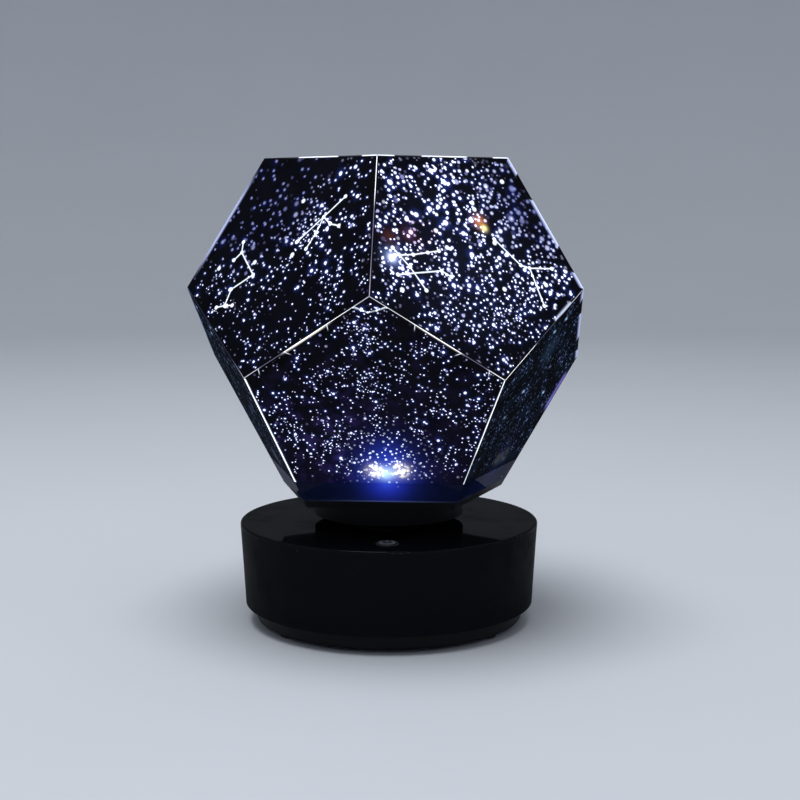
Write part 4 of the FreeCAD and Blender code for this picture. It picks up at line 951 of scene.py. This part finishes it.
def seam_light(point, settings):
    """Light that leaks through a seam: a cool white, violet where it is faint."""
    strength, _, _ = point.recipe.node("UVMap", {"uv_map": "UVMap"}, {}).split()
    uneven = point.noise(5, 2)
    white = uneven.mix((1, 0.93, 0.86), settings.seam_colour)
    colour = strength.ramp(0.05, 0.6).mix((0.55, 0.45, 0.95), white)
    return dict(
        # Painted light: the base colour turns pale where the seam's light is strong.
        Base_Color=strength.mix((0.02, 0.02, 0.035), (0.55, 0.6, 0.7)),
        Roughness=0.4 + 0.1 * uneven,
        Specular_IOR_Level=0,
        Emission_Color=colour * (strength * (0.7 + 0.4 * uneven)),
        Emission_Strength=settings.glow,
    )


# -------- settings

def colour_setting(name, description, default):
    return FloatVectorProperty(name=name, description=description, default=default, size=3,
                               subtype="COLOR", min=0.0, max=1.0)


class DomeSettings(PropertyGroup):
    """Colours and strength of the lit dome."""

    star_colour: colour_setting("Stars", "Colour of the bright stars", (0.84, 0.88, 1.0))
    star_tint: colour_setting("Star tint", "Colour of the faint stars", (0.36, 0.36, 1.0))
    seam_colour: colour_setting("Seams", "Colour of the light in the seams", (0.8, 0.88, 1.0))
    film_colour: colour_setting("Film", "Colour of the printed film", (0.0028, 0.0033, 0.0075))
    glow: FloatProperty(name="Glow", description="Strength of the dome's own light",
                        default=1.6, min=0.0, max=20.0)


class BaseSettings(PropertyGroup):
    """Colours of the base."""

    shell_colour: colour_setting("Shell", "Colour of the glossy shell", (0.0025, 0.0028, 0.004))
    rubber_colour: colour_setting("Feet", "Colour of the rubber feet", (0.018, 0.018, 0.019))
    mark_colour: colour_setting("Key mark", "Colour of the mark on the key", (0.42, 0.45, 0.5))
    mark_radius: FloatProperty(name="Mark radius", description="Radius of the ring on the key",
                               default=2.7 * MM, min=0.001, max=0.004, unit="LENGTH")


class StageSettings(PropertyGroup):
    """Floor, light and camera."""

    floor_colour: colour_setting("Floor", "Colour of floor and backdrop", (0.56, 0.6, 0.66))
    lamp_power: FloatProperty(name="Lamp", description="Power of the soft overhead lamp",
                              default=13.0, min=0.0, max=100.0, unit="POWER")
    sky_strength: FloatProperty(name="Sky", description="Strength of the light from all round",
                                default=0.6, min=0.0, max=5.0)


# -------- operators

# The soft overhead lamp: its place and what it points at, in metres.
LAMP_PLACE = Vector((-0.12, -0.2, 1.35))
LAMP_AIM = Vector((0, 0, 0.1))
# The camera: its place in metres, and in radians how far it looks down and to its left.
EYE_PLACE = (0.009, -0.61, 0.1697)
EYE_DIP = 0.1269
EYE_TURN = 0.0072


def placed(data, place, turn):
    """The object of a light or a camera, at a place and turned."""
    holder = bpy.data.objects.new(data.name, data)
    holder.location = place
    holder.rotation_euler = turn
    bpy.context.scene.collection.objects.link(holder)
    return holder


class PROJECTOR_OT_star_film(Operator):
    """Give each of the eleven panels its own sky of pinhole stars."""

    bl_idname = "projector.star_film"
    bl_label = "Star film"

    def execute(self, context):
        settings = context.scene.projector_dome
        for panel in PANELS:
            slots = frame["nodes"]["panel_" + panel].material_slots
            if not slots:
                raise RuntimeError(f"panel_{panel} has no material slot")
            axes = panel_axes(panel)
            place = (panel_middle(axes), axes.to_euler("XYZ"))
            film = finished("star_film_" + panel, star_film, panel, settings, place=place)
            slots[0].material = film
        return {"FINISHED"}


class PROJECTOR_OT_node_finishes(Operator):
    """Give every other CAD node the finish of its material slot."""

    bl_idname = "projector.node_finishes"
    bl_label = "Finishes"

    def execute(self, context):
        finishes = node_finishes(context.scene.projector_dome, context.scene.projector_base)
        for part in frame["record"]["subparts"]:
            slot = part["material_slot"]
            if slot == "star_film":
                continue
            node = frame["nodes"][part["node"]]
            for holder in node.material_slots:
                holder.material = finishes[slot]
        return {"FINISHED"}


class PROJECTOR_OT_seam_strips(Operator):
    """Lay the bright strips in the seams of the dome."""

    bl_idname = "projector.seam_strips"
    bl_label = "Seam strips"

    def execute(self, context):
        material = finished("seam_light", seam_light, context.scene.projector_dome)
        for name, kinds in (("seam_strips_top", ["top"]), ("seam_strips_upper", ["upper"]),
                            ("seam_strips_belt", ["belt_left", "belt_right"]),
                            ("seam_strips_lower", ["lower"])):
            add_piece(name, seam_strip_parts(kinds), material, "dome")
        return {"FINISHED"}


class PROJECTOR_OT_key_mark(Operator):
    """Print the ring and bar of a power switch on the key."""

    bl_idname = "projector.key_mark"
    bl_label = "Key mark"

    def execute(self, context):
        settings = context.scene.projector_base
        low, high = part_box("power_key")
        middle = np.array([(low.x + high.x) / 2, (low.y + high.y) / 2, high.z])
        radius = settings.mark_radius
        half = 0.3 * MM
        ink = 0.04 * MM
        profile = np.array([(-half, -ink), (half, -ink), (half, ink), (-half, ink)])
        # An open ring: points on a circle from 38 degrees past its top all the way round.
        angle = np.linspace(math.radians(128), math.radians(412), 61)[:, None]
        radial = np.concatenate([np.cos(angle), np.sin(angle), 0 * angle], axis=1)
        bar = np.linspace(0.25, 1.25, 5)[:, None] * radius * (0, 1, 0)
        parts = [tube(middle + radial * radius, radial, (0, 0, 1), profile),
                 tube(middle + bar, (1, 0, 0), (0, 0, 1), profile)]
        material = finished("key_print", key_print, settings)
        add_piece("key_mark", parts, material, "key")
        return {"FINISHED"}


class PROJECTOR_OT_door_ribs(Operator):
    """Add the row of grip ribs under the battery door."""

    bl_idname = "projector.door_ribs"
    bl_label = "Door ribs"

    def execute(self, context):
        low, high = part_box("battery_door")
        angle = np.linspace(0, math.pi, 9)
        profile = np.stack([-0.55 * MM * np.cos(angle), 0.5 * MM * np.sin(angle)], axis=1)
        profile = np.concatenate([profile, [(0.3 * MM, -0.2 * MM), (-0.3 * MM, -0.2 * MM)]])
        share = np.linspace(-1, 1, 25)[:, None]
        # The ribs swell from their ends: the profile is scaled by the root of 1 - share ** 8.
        swell = np.sqrt(np.clip(1 - share ** 8, 0.004, 1))
        parts = []
        # Six ribs, 18 mm long and 3 mm apart, of which the first is 9 mm in from the door's edge.
        for index in range(6):
            middle = (low.x + (9 + 3 * index) * MM, (low.y + high.y) / 2, low.z)
            path = middle + share * 9 * MM * (0, 1, 0)
            parts.append(tube(path, (1, 0, 0) * swell, (0, 0, -1) * swell, profile))
        material = frame["nodes"]["battery_door"].material_slots[0].material
        add_piece("battery_door_ribs", parts, material, "base", smooth=True)
        return {"FINISHED"}


class PROJECTOR_OT_stage(Operator):
    """Set up the pale floor with its curved backdrop, the soft light and the camera."""

    bl_idname = "projector.stage"
    bl_label = "Stage"

    def execute(self, context):
        scene = context.scene
        settings = scene.projector_stage
        # A bowl: flat out to 1.5 m, then a quarter circle of 0.9 m up to a low wall.
        bend = np.linspace(0, math.pi / 2, 24)
        radius = np.concatenate([[0, 0.3, 0.8], 1.5 + 0.9 * np.sin(bend), [2.4]])[:, None]
        level = np.concatenate([[0, 0, 0], 0.9 * (1 - np.cos(bend)), [1.3]])[:, None]
        angle = np.linspace(0, 2 * math.pi, 96, endpoint=False)
        points = [radius * np.cos(angle), radius * np.sin(angle), level + 0 * angle]
        faces = grid_faces(len(radius), len(angle))
        material = finished("floor", matte_floor, settings)
        bowl = (np.stack(points, axis=-1), faces, None)
        add_piece("floor", [bowl], material, smooth=True)

        lamp = bpy.data.lights.new("softbox", "AREA")
        lamp.shape = "DISK"
        lamp.size = 0.9
        lamp.energy = settings.lamp_power
        placed(lamp, LAMP_PLACE, (LAMP_PLACE - LAMP_AIM).to_track_quat("Z", "Y").to_euler())

        world = bpy.data.worlds.new("studio")
        sky = Recipe(world)
        _, _, height = sky.node("TexCoord", {}, {}, "Generated").split()
        colour = height.ramp(0.25, 0.95).mix((0.38, 0.42, 0.5), (1, 1, 1))
        inputs = {"Color": colour, "Strength": settings.sky_strength}
        background = sky.node("Background", {}, inputs)
        sky.node("OutputWorld", {}, {"Surface": background}, None)
        scene.world = world
        scene.view_settings.view_transform = "Standard"

        camera = bpy.data.cameras.new("camera")
        camera.lens = 66.64
        camera.sensor_width = 36
        camera.clip_start = 0.01
        camera.clip_end = 20
        scene.camera = placed(camera, EYE_PLACE, (math.pi / 2 - EYE_DIP, 0, EYE_TURN))
        return {"FINISHED"}


OPERATORS = (PROJECTOR_OT_node_finishes, PROJECTOR_OT_star_film, PROJECTOR_OT_seam_strips,
             PROJECTOR_OT_key_mark, PROJECTOR_OT_door_ribs, PROJECTOR_OT_stage)
SETTINGS = {"projector_dome": DomeSettings, "projector_base": BaseSettings,
            "projector_stage": StageSettings}


class PROJECTOR_PT_pieces(Panel):
    """Lists the pieces and their settings."""

    bl_idname = "PROJECTOR_PT_pieces"
    bl_label = "Planetarium projector"
    bl_space_type = "VIEW_3D"
    bl_region_type = "UI"
    bl_category = "Projector"

    def draw(self, context):
        for group in SETTINGS:
            settings = getattr(context.scene, group)
            box = self.layout.box()
            for name in settings.bl_rna.properties.keys():
                if name not in ("rna_type", "name"):
                    box.prop(settings, name)
        for operator in OPERATORS:
            self.layout.operator(operator.bl_idname)


def register():
    for kind in (*SETTINGS.values(), *OPERATORS, PROJECTOR_PT_pieces):
        bpy.utils.register_class(kind)
    for group, kind in SETTINGS.items():
        setattr(bpy.types.Scene, group, PointerProperty(type=kind))


def unregister():
    for group in SETTINGS:
        delattr(bpy.types.Scene, group)
    for kind in reversed((*SETTINGS.values(), *OPERATORS, PROJECTOR_PT_pieces)):
        bpy.utils.unregister_class(kind)


def main():
    register()
    bpy.ops.projector.node_finishes()
    bpy.ops.projector.star_film()
    bpy.ops.projector.seam_strips()
    bpy.ops.projector.key_mark()
    bpy.ops.projector.door_ribs()
    bpy.ops.projector.stage()


if __name__ == "__main__":
    main()
